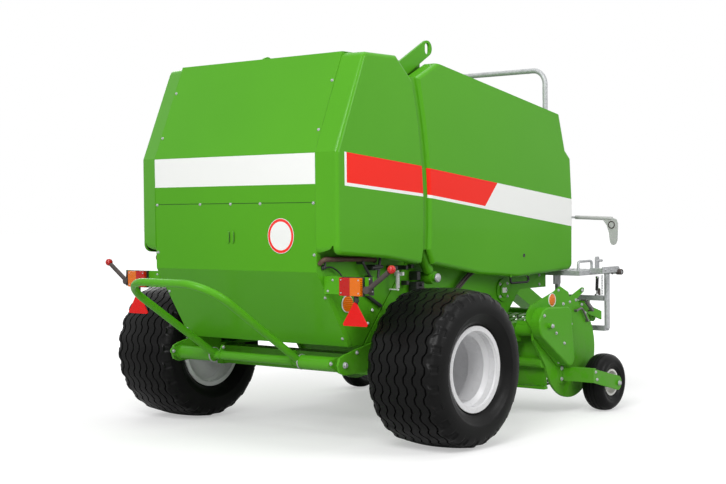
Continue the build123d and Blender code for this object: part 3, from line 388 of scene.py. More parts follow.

# %% [markdown]
# ## A finish for every slot
#
# Each piece of the frame names the slot that it is painted from. One table gives a finish to each slot,
# so only the few pieces with markings are listed one by one.

# %% Finish of each slot
finishes = {
    "green_paint": green_enamel,
    "cover_green": front_banded,
    "black_steel": plain("black enamel", (0.012, 0.012, 0.013), (0.03, 0.03, 0.03), 8, 0.4, 300, 0.0001),
    "dark_steel": plain(
        "worked steel", (0.10, 0.095, 0.09), (0.26, 0.25, 0.24), 14, 0.45, 160, 0.0003, {"Metallic": 0.8},
    ),
    "black_plastic": plain(
        "black moulding", (0.01, 0.01, 0.011), (0.022, 0.022, 0.023), 20, 0.5, 700, 0.0001,
    ),
    "red_lens": lens("red lens", (0.60, 0.006, 0.004)),
    "amber_lens": lens("amber lens", (0.95, 0.20, 0.002)),
    "red_reflector": plain(
        "red reflector", (0.62, 0.004, 0.004), (0.80, 0.008, 0.006), 120, 0.28, 500, 0.0003,
        {"Coat Weight": 0.1, "Specular IOR Level": 0.25},
    ),
    "black_rubber": plain(
        "moulded rubber", (0.035, 0.026, 0.024), (0.07, 0.055, 0.05), 30, 0.62, 400, 0.0004,
    ),
    "sign_white": plain("white sheet", (0.8, 0.81, 0.8), WHITE, 5, 0.35, 200, 0.0001),
    "chrome_rod": plain(
        "plated rod", (0.62, 0.62, 0.62), (0.72, 0.72, 0.72), 20, 0.12, 500, 0.00005, {"Metallic": 1.0},
        spread=0.05,
    ),
    "tyre_rubber": plain(
        "tyre rubber", (0.003, 0.003, 0.003), (0.008, 0.008, 0.008), 9, 0.36, 350, 0.0002,
        {"Specular IOR Level": 0.12}, edge=None,
    ),
    "pale_rim": plain("white rim enamel", (0.72, 0.71, 0.68), (0.83, 0.82, 0.79), 7, 0.35, 250, 0.0001),
    "silver_rim": plain(
        "silver rim enamel", (0.68, 0.68, 0.69), (0.75, 0.75, 0.76), 5, 0.28, 250, 0.0001,
        {"Coat Weight": 0.2, "Coat Roughness": 0.1, "Specular IOR Level": 0.4},
    ),
    "galvanised": galvanised_steel(),
}
brown_hose = plain("brown hose", (0.06, 0.030, 0.02), (0.13, 0.070, 0.045), 30, 0.6, 300, 0.0003)
dull_zinc = plain("dull zinc", (0.42, 0.42, 0.42), (0.50, 0.50, 0.50), 30, 0.5, 300, 0.0002)
slot_of = {part["node"]: part["material_slot"] for part in frame["record"]["subparts"]}
for node, piece in frame["nodes"].items():
    piece.data.materials.clear()
    piece.data.materials.append(finishes[slot_of[node]])
for node in ("rear_cover_right", "rear_cover_left"):
    frame["nodes"][node].data.materials[0] = rear_banded
frame["nodes"]["gate_skin"].data.materials[0] = skin_enamel
frame["nodes"]["sign_disc"].data.materials[0] = blank_sign
print("finishes", len(finishes))

# %% [markdown]
# ## Studio
#
# A product picture like this one has a white floor that melts into a white background, with a soft
# shadow under the machine. The floor is plain and pale, and glows a little for the camera alone. The
# world reads as pure white only for the camera and for reflections. Large soft lamps stand behind the
# camera, above and on both sides, at a level where a colour comes out about as it is written.

# %% Floor and background
near_floor, far_floor = 2.2, 6.0       # between these distances the floor brightens to plain white
near_glow, far_glow = 0.42, 0.88
daylight = 0.42                        # strength of the world where nothing looks straight at it
floor_mesh = bpy.data.meshes.new("floor")
sheet = bmesh.new()
bmesh.ops.create_grid(sheet, x_segments=8, y_segments=8, size=60)
sheet.to_mesh(floor_mesh)
floor = bpy.data.objects.new("floor", floor_mesh)
floor.location.z = -0.001
bpy.context.scene.collection.objects.link(floor)

floor_paint, shader, place = start("pale floor")
seen = place.add("LightPath", output="Is Camera Ray")
far_off = ((place.length() - near_floor) / (far_floor - near_floor)).at_least(0).at_most(1)
finish(
    shader, place, {"Roughness": 0.9, "Specular IOR Level": 0.0, "Emission Strength": 1.0},
    Base_Color=cloud(place, 0.2).mix((0.62, 0.62, 0.62), (0.64, 0.64, 0.64)),
    Emission_Color=(seen * (near_glow + (far_glow - near_glow) * far_off)).mix((0, 0, 0), (1, 1, 1)),
)
floor_mesh.materials.append(floor_paint)

world = bpy.data.worlds.new("studio")
bpy.context.scene.world = world
world.use_nodes = True
backdrop = Surface(world.node_tree)
seen = backdrop.add("LightPath", output="Is Camera Ray")
for kind in ("Is Glossy Ray", "Is Transmission Ray"):
    seen = seen.at_least(backdrop.add("LightPath", output=kind))
world.node_tree.nodes["Background"].inputs["Color"].default_value = (1, 1, 1, 1)
backdrop.feed(world.node_tree.nodes["Background"].inputs["Strength"], daylight + (1 - daylight) * seen)
bpy.context.scene.view_settings.view_transform = "Standard"


def soft_light(name, place, target, size, power):
    """A square soft box at a place, turned towards a target."""
    lamp = bpy.data.lights.new(name, "AREA")
    lamp.shape, lamp.size, lamp.energy = "SQUARE", size, power
    box = bpy.data.objects.new(name, lamp)
    box.location = place
    box.rotation_euler = (Vector(target) - Vector(place)).to_track_quat("-Z", "Y").to_euler()
    bpy.context.scene.collection.objects.link(box)


soft_light("key light", (3.8, -8.2, 6.2), (0, -0.5, 1.2), 4.0, 640)
soft_light("side light", (9.0, 1.5, 5.0), (0, 0, 1.0), 4.0, 250)
soft_light("top light", (0, 0, 8.0), (0, 0, 0), 6.0, 160)
soft_light("far light", (-7.0, 4.0, 4.5), (0, 0, 1.0), 4.0, 170)
print("lights", len(bpy.data.lights))

# %% [markdown]
# ## Making solid pieces
#
# Small pieces are turned, bent from bar, or cut from plate. All of them are rings of points with faces
# between, so one function closes the skin and the others only say where the rings lie. `at` places a
# point as a fitter would measure it, in millimetres from the ground below the axle. `keep` turns the
# points into a piece and says which body carries it, so it follows that body in every pose.

# %% Placing and keeping
def at(x, y, z):
    return Vector((x / 1000, y / 1000 - half_length, z / 1000))


def route(points, hand=1):
    """Points measured on the right, or mirrored to the left where hand is -1."""
    return [at(hand * x, y, z) for x, y, z in points]


def keep(name, mesh, body, slot, material=None, crease=35):
    """Turns a bmesh into a piece that rides on a body, smooth except where it turns sharply."""
    bmesh.ops.recalc_face_normals(mesh, faces=mesh.faces)
    data = bpy.data.meshes.new(name)
    mesh.to_mesh(data)
    mesh.free()
    data.materials.append(material or finishes[slot])
    data.shade_smooth()
    data.set_sharp_from_angle(angle=radians(crease))
    piece = bpy.data.objects.new(name, data)
    bpy.context.scene.collection.objects.link(piece)
    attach(piece, body)
    return piece


def skinned(mesh, rings, closed=False):
    """Faces between rings of points; the ends are capped unless the last ring meets the first."""
    rings = [[mesh.verts.new(point) for point in ring] for ring in rings]
    count = len(rings[0])
    for one, two in zip(rings, rings[1:] + rings[:1] if closed else rings[1:]):
        for here in range(count):
            after = (here + 1) % count
            mesh.faces.new((one[here], one[after], two[after], two[here]))
    if not closed:
        mesh.faces.new(rings[0][::-1])
        mesh.faces.new(rings[-1])


print("placing ready")

# %% [markdown]
# ### Turned pieces and bolts
#
# Caps, rims and rings come off a lathe. Blender could spin a profile with a modifier; here the section
# is spun point by point, because the piece is then plain mesh. A bolt is a washer and a hexagon head.

# %% Turned pieces
def circle(steps, first=0.0):
    """The cosine and sine of even steps round a circle."""
    angles = [first + 2 * pi * step / steps for step in range(steps)]
    return [(cos(angle), sin(angle)) for angle in angles]


def turned(mesh, section, origin, direction, steps=24, closed=False):
    """A section of (radius, height) points spun about an axis; an open section is capped at its ends."""
    where = Matrix.Translation(origin) @ Vector(direction).to_track_quat("Z", "Y").to_matrix().to_4x4()
    rings = [[where @ Vector((r * c, r * s, h)) for c, s in circle(steps)] for r, h in section]
    skinned(mesh, rings, closed)


def bolt(mesh, origin, direction, size):
    """A washer and a chamfered hexagon head, for a thread of the given size."""
    washer = ((1.15, -0.1), (1.15, 0.12), (1.05, 0.2))
    head = ((0.9, 0), (0.9, 0.66), (0.76, 0.82))
    for section, steps in ((washer, 18), (head, 6)):
        turned(mesh, [(r * size, h * size) for r, h in section], origin, direction, steps)


def side_bolts(mesh, hand, x, size, *places):
    """Bolts on an upright face that looks sideways, x from the middle, at (y, z) places."""
    for y, z in places:
        bolt(mesh, at(hand * x, y, z), (hand, 0, 0), size)


print("lathe ready")

# %% [markdown]
# ### Bars, plates and springs
#
# A hose, a rod and a spring are all a round section carried along a run of points. A curve with a bevel
# does the same; laying the rings by hand also lets a hose have pressed ridges. A plate is an outline
# raised to its thickness, with a small chamfer that catches light as a real cut edge does.

# %% Bars, plates and springs
ridge_pitch = 0.006
end_ring, end_length = 0.78, 0.25       # a bar's chamfered end, as shares of its radius


def rounded(points, corner):
    """A run of points with each corner drawn out into a short curve."""
    run = [points[0]]
    for before, here, after in zip(points, points[1:], points[2:]):
        reach = min(corner, 0.45 * (before - here).length, 0.45 * (after - here).length)
        enter = here + (before - here).normalized() * reach
        leave = here + (after - here).normalized() * reach
        for share in (0, 0.2, 0.4, 0.6, 0.8, 1):
            run.append(enter.lerp(here, share).lerp(here.lerp(leave, share), share))
    return run + [points[-1]]


def quartered(run):
    """A run cut so finely that each ridge of a corrugated hose spans four points."""
    fine = []
    for here, after in zip(run, run[1:]):
        parts = max(1, round(4 * (after - here).length / ridge_pitch))
        fine += [here.lerp(after, part / parts) for part in range(parts)]
    return fine + [run[-1]]


def bar(mesh, points, radius, corner=0.02, steps=12, flat=1.0, ridge=0.0):
    """A round bar along a run with chamfered ends; flat squeezes it, and ridge corrugates it."""
    run = rounded(points, corner)
    if ridge:
        run = quartered(run)
    ends = [run[0], run[0].lerp(run[1], min(0.5, end_length * radius / (run[1] - run[0]).length))]
    tail = run[-1].lerp(run[-2], min(0.5, end_length * radius / (run[-2] - run[-1]).length))
    run = ends + run[1:-1] + [tail, run[-1]]
    rings, across = [], (run[1] - run[0]).orthogonal()
    for index, place in enumerate(run):
        ahead = (run[min(index + 1, len(run) - 1)] - run[max(index - 1, 0)]).normalized()
        across = (across - ahead * across.dot(ahead)).normalized()
        other = ahead.cross(across) * flat
        size = radius * (end_ring if index in (0, len(run) - 1) else 1) - ridge * (index % 4 in (2, 3))
        rings.append([place + size * (c * across + s * other) for c, s in circle(steps)])
    skinned(mesh, rings)


def plate(mesh, corners, direction, thickness, chamfer=0.0012):
    """A flat plate cut to an outline, raised along a direction, with its outer edge chamfered."""
    out = Vector(direction).normalized()
    area = sum((a.cross(b) for a, b in zip(corners, corners[1:] + corners[:1])), Vector())
    if area.dot(out) < 0:
        corners = corners[::-1]
    inward = []
    for before, here, after in zip(corners[-1:] + corners[:-1], corners, corners[1:] + corners[:1]):
        one = out.cross(here - before).normalized()
        two = out.cross(after - here).normalized()
        inward.append((one + two) / (1 + one.dot(two)))
    skinned(mesh, [
        [here + out * rise + step * inset for here, step in zip(corners, inward)]
        for rise, inset in ((0, 0), (thickness - chamfer, 0), (thickness, chamfer))
    ])


def coil(mesh, start, end, radius, wire, turns):
    """A spring wound between two points, its ends drawn in to the axis."""
    span = end - start
    where = Matrix.Translation(start) @ span.to_track_quat("Z", "Y").to_matrix().to_4x4()
    steps = 10
    wound = [
        Vector((radius * c, radius * s, span.length * (0.08 + 0.84 * (turn + step / steps) / turns)))
        for turn in range(turns) for step, (c, s) in enumerate(circle(steps))
    ]
    run = [Vector(), Vector((0, 0, 0.06 * span.length)), *wound, Vector((0, 0, 0.94 * span.length)),
           Vector((0, 0, span.length))]
    bar(mesh, [where @ point for point in run], wire, 0, 6)


print("helpers ready")

# %% [markdown]
# ## Tyres
#
# The flotation tyres have ribs parted by wavy grooves, a shoulder with short pockets between its
# blocks, and a tall sidewall that bulges over the rim. A texture would look flat at the outline, so
# the tread is real: a grid round the tyre, whose columns sway with the wave, whose groove columns are
# pressed in, and whose shoulder columns are pressed in once for each pocket.

# %% Main tyres
tyre_radius, tyre_middle = 0.433, 1.006
waves, steps_in_wave, sway = 24, 16, 0.010
steepness = 1.5                             # a wave this steep is clipped, so its crests are flat
groove_pitch, groove_half, groove_depth = 0.0555, 0.0055, 0.013
crown = 0.42                                # how fast the tread falls away from its middle
pocket_depth, pocket_steps = 0.009, range(3, 9)


def tyre_columns():
    """(x, radius, share of the sway, share of a pocket's depth) of each column, from bead to bead."""
    tread = []
    for groove in range(-3, 4):
        for shift, pressed in ((-2.4, 0), (-1, 0), (-0.6, 1), (0.6, 1), (1, 0), (2.4, 0)):
            x = groove * groove_pitch + shift * groove_half
            tread.append((x, tyre_radius - crown * x * x - pressed * groove_depth, 1, 0))
    shoulder = (
        (0.186, 0.4195, 1, 0), (0.196, 0.4140, 1, 0), (0.199, 0.4110, 0.6, 0), (0.207, 0.4080, 0.3, 1),
        (0.219, 0.400, 0.1, 1), (0.230, 0.383, 0, 1),
        (0.233, 0.377, 0, 0), (0.239, 0.355, 0, 0), (0.2425, 0.330, 0, 0), (0.241, 0.304, 0, 0),
        (0.2405, 0.300, 0, 0), (0.2385, 0.298, 0, 0), (0.233, 0.280, 0, 0), (0.219, 0.258, 0, 0),
        (0.204, 0.2445, 0, 0), (0.1945, 0.2405, 0, 0), (0.1945, 0.2165, 0, 0),
    )
    return [(-x, *rest) for x, *rest in reversed(shoulder)] + tread + list(shoulder)


def main_tyre(hand, side):
    mesh = bmesh.new()
    centre = Vector((hand * tyre_middle, -half_length, tyre_radius))
    rings = []
    for step, (c, s) in enumerate(circle(waves * steps_in_wave)):
        wave = max(-1, min(1, steepness * sin(2 * pi * step / steps_in_wave)))
        pocket = pocket_depth * (step % steps_in_wave in pocket_steps)
        ring = []
        for x, radius, share, deep in tyre_columns():
            pressed = radius - deep * pocket
            ring.append(centre + Vector((x + share * sway * wave, pressed * s, pressed * c)))
        rings.append(ring)
    skinned(mesh, rings, closed=True)
    return keep("tyre_tread_" + side, mesh, "wheel_" + side, "tyre_rubber", crease=50)


for hand, side in ((1, "right"), (-1, "left")):
    tread = main_tyre(hand, side)
    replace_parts(tread, "tyre_" + side)
print("tyre faces", len(tread.data.polygons))

# %% [markdown]
# ## Gauge wheel tyres
#
# The gauge wheels have plain implement tyres: four ribs round the tread and a small moulded step on
# the sidewall. Nothing on them changes round the wheel, so one section spun about the axle is enough.

# %% Gauge wheel tyres
gauge_x, gauge_y, gauge_z = 1012, 1703, 181
gauge_radius, gauge_crown, gauge_groove = 0.181, 3.1, 0.004


def gauge_tyre(hand, side):
    mesh = bmesh.new()
    tread = [
        (gauge_radius - gauge_crown * x * x - gauge_groove * pressed, x) for x, pressed in (
            (0.042, 0), (0.030, 0), (0.028, 1), (0.024, 1), (0.022, 0), (0.004, 0), (0.002, 1), (-0.002, 1),
            (-0.004, 0), (-0.022, 0), (-0.024, 1), (-0.028, 1), (-0.030, 0), (-0.042, 0),
        )
    ]
    wall = (
        (0.0845, 0.052), (0.098, 0.0585), (0.108, 0.066), (0.110, 0.0655),
        (0.125, 0.0735), (0.140, 0.0745), (0.156, 0.067), (0.167, 0.056),
    )
    section = [*wall, *tread, *((r, -x) for r, x in reversed(wall))]
    turned(mesh, section, at(hand * gauge_x, gauge_y, gauge_z), (1, 0, 0), 72, closed=True)
    return keep("gauge_tread_" + side, mesh, "gauge_wheel_" + side, "tyre_rubber", crease=50)


for hand, side in ((1, "right"), (-1, "left")):
    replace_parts(gauge_tyre(hand, side), "gauge_tyre_" + side)
print("gauge tyres ready")

# %% [markdown]
# ## Wheel fittings
#
# Each main wheel is held by a ring of nuts on studs round the hub. It has a domed dust cap, a tyre
# valve leaning out of the dish, and two beads rolled into the inside of its rim. They ride on the
# wheel's own body, so they turn with it. The beads are one half circle each, spun round the axle.

# %% Hub nuts, dust caps, beads and valves
hub_face, cap_face, wheel_x, hub_z = 907, 955, 1006, 433
nut_circle = 96

for hand, side in ((1, "right"), (-1, "left")):
    mesh = bmesh.new()
    for c, s in circle(8, pi / 8):
        spot = at(hand * hub_face, nut_circle * c, hub_z + nut_circle * s)
        bolt(mesh, spot, (hand, 0, 0), 0.013)
        turned(mesh, ((0.006, 0), (0.006, 0.017), (0.004, 0.019)), spot, (hand, 0, 0), 10)
    turned(
        mesh, ((0.044, -0.004), (0.044, 0.012), (0.041, 0.016), (0.026, 0.021), (0.008, 0.023)),
        at(hand * cap_face, 0, hub_z), (hand, 0, 0), 28,
    )
    keep("hub_nuts_" + side, mesh, "wheel_" + side, "galvanised")
    mesh = bmesh.new()
    for radius, depth in ((0.2080, 0.187), (0.1880, 0.125)):
        section = [(radius - 0.005 * s, depth + 0.008 * c) for c, s in circle(12) if s > -0.1]
        turned(mesh, section, at(hand * wheel_x, 0, hub_z), (hand, 0, 0), 64, closed=True)
    keep("rim_beads_" + side, mesh, "wheel_" + side, "silver_rim")
    mesh = bmesh.new()
    root = at(hand * 906, 128, hub_z + 104)
    stem, cap = Vector((hand * 0.022, 0.012, 0.01)), Vector((hand * 0.034, 0.019, 0.0155))
    bar(mesh, [root, root + stem], 0.005, steps=10)
    bar(mesh, [root + Vector((hand * 0.020, 0.011, 0.009)), root + cap], 0.0035, steps=10)
    keep("tyre_valve_" + side, mesh, "wheel_" + side, "black_rubber")
print("wheels fitted")

# %% [markdown]
# ## Tailgate skin
#
# The folded skin is held by plated hexagon screws down both edges and in a row along its seam. Two
# pressed louvres below the row let air out, and a thin black strip beside each is painted shade in its
# open slit. Each screw stands square on its own panel, so a small function finds the skin's surface and
# its slope at any height.

# %% Screws and louvres of the skin
skin_run = ((-388, 2150), (-621, 1602), (-615, 966), (-363, 551))


def on_skin(x, z):
    """The point of the rear skin at a height, and the way that the skin faces there."""
    for (upper_y, upper_z), (lower_y, lower_z) in zip(skin_run, skin_run[1:]):
        if lower_z <= z <= upper_z:
            y = lower_y + (upper_y - lower_y) * (z - lower_z) / (upper_z - lower_z)
            return at(x, y, z), Vector((0, lower_z - upper_z, upper_y - lower_y))


mesh = bmesh.new()
seam_row = 1333
edge_screws = [(hand * 608, z) for hand in (-1, 1) for z in (1990, 1722, seam_row, 1058, 827, 598)]
for x, z in edge_screws + [(x, seam_row) for x in (-250, -8, 220)]:
    bolt(mesh, *on_skin(x, z), 0.0075)
keep("skin_screws", mesh, "tailgate", "galvanised")

louvres, louvre_z = (-26, 10), 1150
mesh = bmesh.new()
for x in louvres:
    opening = [at(x + dx, -620.4, louvre_z + dz) for dx, dz in (
        (-4, -33), (4, -33), (7, -28), (7, 28), (4, 33), (-4, 33), (-7, 28), (-7, -28))]
    plate(mesh, opening, (0, -1, 0), 0.004, 0.0025)
keep("skin_louvres", mesh, "tailgate", "green_paint")
# Beside each louvre a thin black strip stands for its open slit: painted shade.
mesh = bmesh.new()
for x in louvres:
    plate(mesh, [at(x + dx, -621, louvre_z + dz) for dx, dz in ((5, -27), (10, -27), (10, 27), (5, 27))],
          (0, -1, 0), 0.0012, 0.0004)
keep("louvre_gap_shade", mesh, "tailgate", "black_steel")
print("skin fitted")

# %% [markdown]
# ## Under the rear covers
#
# Between the tailgate's wall and its cover run the pieces that the photograph shows below the cover's
# edge: a corrugated hose, the lamp's cable with its grommet, the latch spring, a tap and small
# connectors. They stand on short pegs from the wall. Each run is a list of measured points, and the
# left side is the right one mirrored by the sign of `hand`.

# %% Tailgate wall fittings
wall_face = 620         # outer face of the side walls, from the machine's middle


def wall_block(mesh, hand, corner, size, depth):
    """A small moulded block on a side wall; corner and size are given along Y and Z."""
    (y, z), (long, high) = corner, size
    outline = ((0, 0), (long, 0), (long, high), (0, high))
    corners = [at(hand * wall_face, y + dy, z + dz) for dy, dz in outline]
    plate(mesh, corners, (hand, 0, 0), depth / 1000, 0.002)


for hand, side in ((1, "right"), (-1, "left")):
    mesh = bmesh.new()
    bar(mesh, route((
        (622, -596, 1008), (650, -585, 1034), (650, -400, 1030), (650, -160, 1020), (622, -130, 1012),
    ), hand), 0.014, 0.03, 14, ridge=0.0018)
    keep("gate_hose_" + side, mesh, "tailgate", "black_rubber", material=brown_hose)
    mesh = bmesh.new()
    bar(mesh, route((
        (640, -566, 990), (640, -515, 992), (640, -465, 970), (646, -430, 935), (640, -470, 905),
        (660, -545, 900), (700, -552, 898),
    ), hand), 0.0045, 0.03, 8)
    turned(mesh, ((0.014, 0), (0.014, 0.006), (0.010, 0.010), (0.010, 0.016), (0.006, 0.018)),
           at(hand * 624, -566, 990), (hand, 0, 0))
    bar(mesh, route(((640, -566, 990), (640, -566, 1046)), hand), 0.006, steps=8)
    bar(mesh, route(((660, -277, 1008), (660, -209, 922)), hand), 0.008)
    for y, z in ((-277, 1008), (-209, 922)):
        turned(mesh, ((0.011, 0), (0.011, 0.042), (0.008, 0.045)), at(hand * 622, y, z), (hand, 0, 0), 14)
    bar(mesh, route(((680, -226, 976), (680, -133, 980)), hand), 0.011)
    bar(mesh, route(((680, -150, 1030), (680, -172, 917)), hand), 0.008)
    for y, z, long, high, depth in (
        (-200, 962, 34, 30, 66), (-24, 957, 36, 24, 58), (84, 954, 20, 24, 58), (-240, 858, 40, 52, 12),
    ):
        wall_block(mesh, hand, (y, z), (long, high), depth)
    plate(mesh, [at(hand * 622, y, z) for y, z in ((-238, 846), (-222, 822), (-92, 748), (-84, 764))],
          (hand, 0, 0), 0.018)
    keep("gate_fittings_" + side, mesh, "tailgate", "black_steel")
    mesh = bmesh.new()
    coil(mesh, at(hand * 680, 4, 846), at(hand * 680, 4, 948), 0.0095, 0.0022, 15)
    for z in (846, 948):
        bar(mesh, route(((618, 4, z), (684, 4, z)), hand), 0.004, steps=10)
        side_bolts(mesh, hand, 682, 0.006, (4, z))
    wall_block(mesh, hand, (50, 922), (16, 20), 60)
    side_bolts(mesh, hand, 624.5, 0.008, (-226, 884), (-70, 905), (-300, 760), (-156, 739), (-195, 669))
    keep("latch_spring_" + side, mesh, "tailgate", "sign_white" if hand > 0 else "galvanised")
print("tailgate walls fitted")

# %% [markdown]
# ## Chassis walls
#
# On the fixed walls sit the screws and grease nipples of the bearing flanges and the cap of the
# cylinder's pin. On the right the valve block's two hoses run forwards through three clips, with
# couplings and a small blank plate beside them. The hoses sag between fixed points, so each is a bar
# with wide corners.

# %% Chassis wall fittings
drive_y, drive_z = 1135, 784
bearing_rings = ((820, 560, 58), (drive_y, drive_z, 56), (163, 602, 44), (439, 681, 44))    # y, z, radius
hose_runs = ((805, (720, 770), 0), (835, (742, 792), 20))       # port, heights of the sag, how far out
grease_nipple = ((0.004, 0), (0.004, 0.008), (0.0025, 0.010))

for hand, side in ((1, "right"), (-1, "left")):
    mesh = bmesh.new()
    for y, z, ring in bearing_rings:
        side_bolts(mesh, hand, 630, 0.009, *((y + ring * c, z + ring * s) for c, s in circle(4, pi / 4)))
        turned(mesh, grease_nipple, at(hand * 638, y + 18, z), (hand, 0, 0), 10)
    side_bolts(
        mesh, hand, wall_face, 0.009,
        (202, 763), (300, 640), (560, 700), (1420, 860), (1560, 860), (1560, 800),
    )
    pin_cap = ((0.026, 0), (0.026, 0.004), (0.021, 0.010), (0.008, 0.013))
    turned(mesh, pin_cap, at(hand * 737, 300, 900), (hand, 0, 0))
    keep("wall_screws_" + side, mesh, "chassis", "galvanised")

mesh = bmesh.new()
for port, (low, high), out in hose_runs:
    bar(mesh, route((
        (698, 213, port), (712 + out, 213, port), (716 + out, 240, low), (690, 420, low), (648, 560, high),
        (648, 760, 905 + out), (648, 1020, 922 + out), (648, 1500, 918 + out), (616, 1575, 905 + out),
    )), 0.0085, 0.05, 12)
    socket = ((0.013, 0), (0.013, 0.016), (0.0115, 0.018), (0.0105, 0.026))
    turned(mesh, socket, at(699, 213, port), (1, 0, 0), 12)
keep("wall_hoses", mesh, "chassis", "black_rubber")
mesh = bmesh.new()
for y in (880, 1180, 1440):
    for x, half, low, high, thick in ((wall_face, 12, 900, 958, 0.018), (638, 10, 904, 954, 0.024)):
        outline = ((x, y - half, low), (x, y + half, low), (x, y + half, high), (x, y - half, high))
        plate(mesh, route(outline), (1, 0, 0), thick)
    side_bolts(mesh, 1, 662, 0.006, (y, 929))
for y, z, long, high, depth in ((186, 890, 30, 50, 60), (170, 958, 26, 22, 30), (112, 866, 24, 24, 40)):
    wall_block(mesh, 1, (y, z), (long, high), depth)
keep("wall_clips", mesh, "chassis", "black_steel")
mesh = bmesh.new()
label = [at(638, drive_y + y, drive_z + z) for y, z in ((-24, -16), (24, -16), (24, 16), (-24, 16))]
plate(mesh, label, (1, 0, 0), 0.0015)
keep("wall_label_blank", mesh, "chassis", "sign_white")
print("chassis walls fitted")

# %% [markdown]
# ## Lamps, markers and reflectors
#
# Each lamp is screwed through its lens and hangs on a bolted bar. A rubber arm with a marker stands out
# beside it, held under a small clamp plate, and a pressed rim holds the round reflector on the wall.
# The lamps themselves belong to the frame; only what fastens them is added here.

# %% Lamp and marker fittings
lamp_bar_face, lens_face = -557, -594

for hand, side in ((1, "right"), (-1, "left")):
    mesh = bmesh.new()
    for x, z in ((684, 925), (938, 936), (940, 868), (958, 873), (650, 866)):
        bolt(mesh, at(hand * x, lamp_bar_face, z), (0, -1, 0), 0.006)
    screw_head = ((0.004, -0.001), (0.004, 0.0015), (0.0025, 0.0025))
    for x, z in ((772, 862), (772, 930), (890, 862), (890, 930)):
        turned(mesh, screw_head, at(hand * x, lens_face, z), (0, -1, 0), 12)
    keep("lamp_screws_" + side, mesh, "tailgate", "galvanised")
    mesh = bmesh.new()
    clamp = ((932, 852), (966, 852), (966, 880), (956, 944), (932, 944))
    plate(mesh, [at(hand * x, -557.3, z) for x, z in clamp], (0, -1, 0), 0.003)
    bar(mesh, [at(hand * x, -566, z) for x, z in ((857, 812), (857, 842))], 0.011, steps=10, flat=0.5)
    keep("marker_clamp_" + side, mesh, "tailgate", "black_steel")
    mesh = bmesh.new()
    turned(mesh, ((0.047, -0.001), (0.047, 0.004), (0.045, 0.006), (0.0425, 0.005), (0.0425, -0.001)),
           at(hand * 624, -370, 786), (hand, 0, 0), 40, closed=True)
    keep("side_reflector_rim_" + side, mesh, "tailgate", "sign_white")
print("lamps fitted")

# %% [markdown]
# ## Bale ramp fittings
#
# The ramp swings on two pins. At each end a lug takes a bolt, and a thin ring closes each sleeve that
# the bent loop is welded to. The plates that hold the pins are bolted to the chassis. The ramp's bolts
# ride with it and the plates' bolts stay behind, so they are kept as two pieces.

# %% Ramp bolts
pin_y, pin_z = -430, 460
mesh = bmesh.new()
for hand in (-1, 1):
    side_bolts(mesh, hand, 619.5, 0.010, (-505, 472))
    bolt(mesh, at(hand * 608.5, -505, 472), (-hand, 0, 0), 0.010)
    bolt(mesh, at(hand * 278, -420, 505), (-hand, 0, 0), 0.009)
    turned(mesh, ((0.0405, -0.004), (0.043, -0.003), (0.043, 0.003), (0.0405, 0.004), (0.0392, 0)),
           at(hand * 344, pin_y, pin_z), (hand, 0, 0), 36, closed=True)
keep("ramp_bolts", mesh, "bale_ramp", "galvanised")
mesh = bmesh.new()
for hand in (-1, 1):
    side_bolts(mesh, hand, 656, 0.016, (pin_y, pin_z))
    side_bolts(mesh, hand, 656, 0.010, (-330, 520), (-160, 560), (-140, 440))
keep("ramp_pins", mesh, "chassis", "galvanised")
print("ramp fitted")

# %% [markdown]
# ## Pickup fittings
#
# The pickup's plates, guard and gauge wheel arms are held by bolts, and a round amber reflector sits in
# a white rim beside the chain guard. All of them are turned from short sections.

# %% Pickup bolts and reflector
mesh = bmesh.new()
side_bolts(mesh, 1, 960, 0.009, (1218, 525), (1310, 456), (1083, 640), (1300, 700))
side_bolts(mesh, 1, 898, 0.008, (1345, 780), (1480, 700), (1496, 560), (1460, 330), (1340, 330))
side_bolts(mesh, 1, 985, 0.012, (1135, 575))
for hand in (-1, 1):
    side_bolts(mesh, hand, 885, 0.009, (1687, 618), (1574, 706), (1647, 673))
    side_bolts(mesh, hand, 893.3, 0.011, (1385, 222), (1385, 288), (1448, 222))
    side_bolts(mesh, hand, 894, 0.010, (1640, 764))
    side_bolts(mesh, hand, 1114, 0.009, (1425, 275), (1440, 228))
    side_bolts(mesh, hand, 1124, 0.014, (gauge_y, gauge_z))
keep("pickup_bolts", mesh, "pickup", "galvanised")

reflector = at(898, 1268, 724)
mesh = bmesh.new()
rim = ((0.041, -0.001), (0.041, 0.004), (0.039, 0.0055), (0.037, 0.004), (0.037, -0.001))
turned(mesh, rim, reflector, (1, 0, 0), 40, closed=True)
keep("reflector_rim", mesh, "pickup", "sign_white")
mesh = bmesh.new()
dome = ((0.0368, -0.001), (0.0368, 0.0025), (0.033, 0.005), (0.022, 0.0068), (0.006, 0.0075))
# The reflector takes the amber lens finish, so it carries the same faint painted glow.
turned(mesh, dome, reflector, (1, 0, 0), 40)
keep("guard_reflector", mesh, "pickup", "amber_lens")
print("pickup bolted")

# %% [markdown]
# ### Crop roller springs and back sheet
#
# On each side a short spring and a bent rod hold the crop roller's arm down. A spring drawn as a
# ribbed cylinder would lose the gaps between its turns, so it is wound from wire. A bent sheet closes
# the pickup's back between its side plates, clear of the tines.

# %% Springs and back sheet
spring_pegs, rod_pegs = ((1668, 700), (1756, 628)), ((1560, 640), (1700, 566))
mesh = bmesh.new()
for hand in (-1, 1):
    coil(mesh, *(at(hand * 902, y, z) for y, z in spring_pegs), 0.012, 0.0024, 12)
    for y, z in spring_pegs:
        bar(mesh, route(((868, y, z), (910, y, z)), hand), 0.006, steps=10)
    bar(mesh, route(((900, 1560, 640), (900, 1625, 655), (900, 1700, 566)), hand), 0.007, 0.02, 10)
    for y, z in rod_pegs:
        bar(mesh, route(((880, y, z), (908, y, z)), hand), 0.008, steps=10)
keep("roller_springs", mesh, "pickup", "dark_steel")

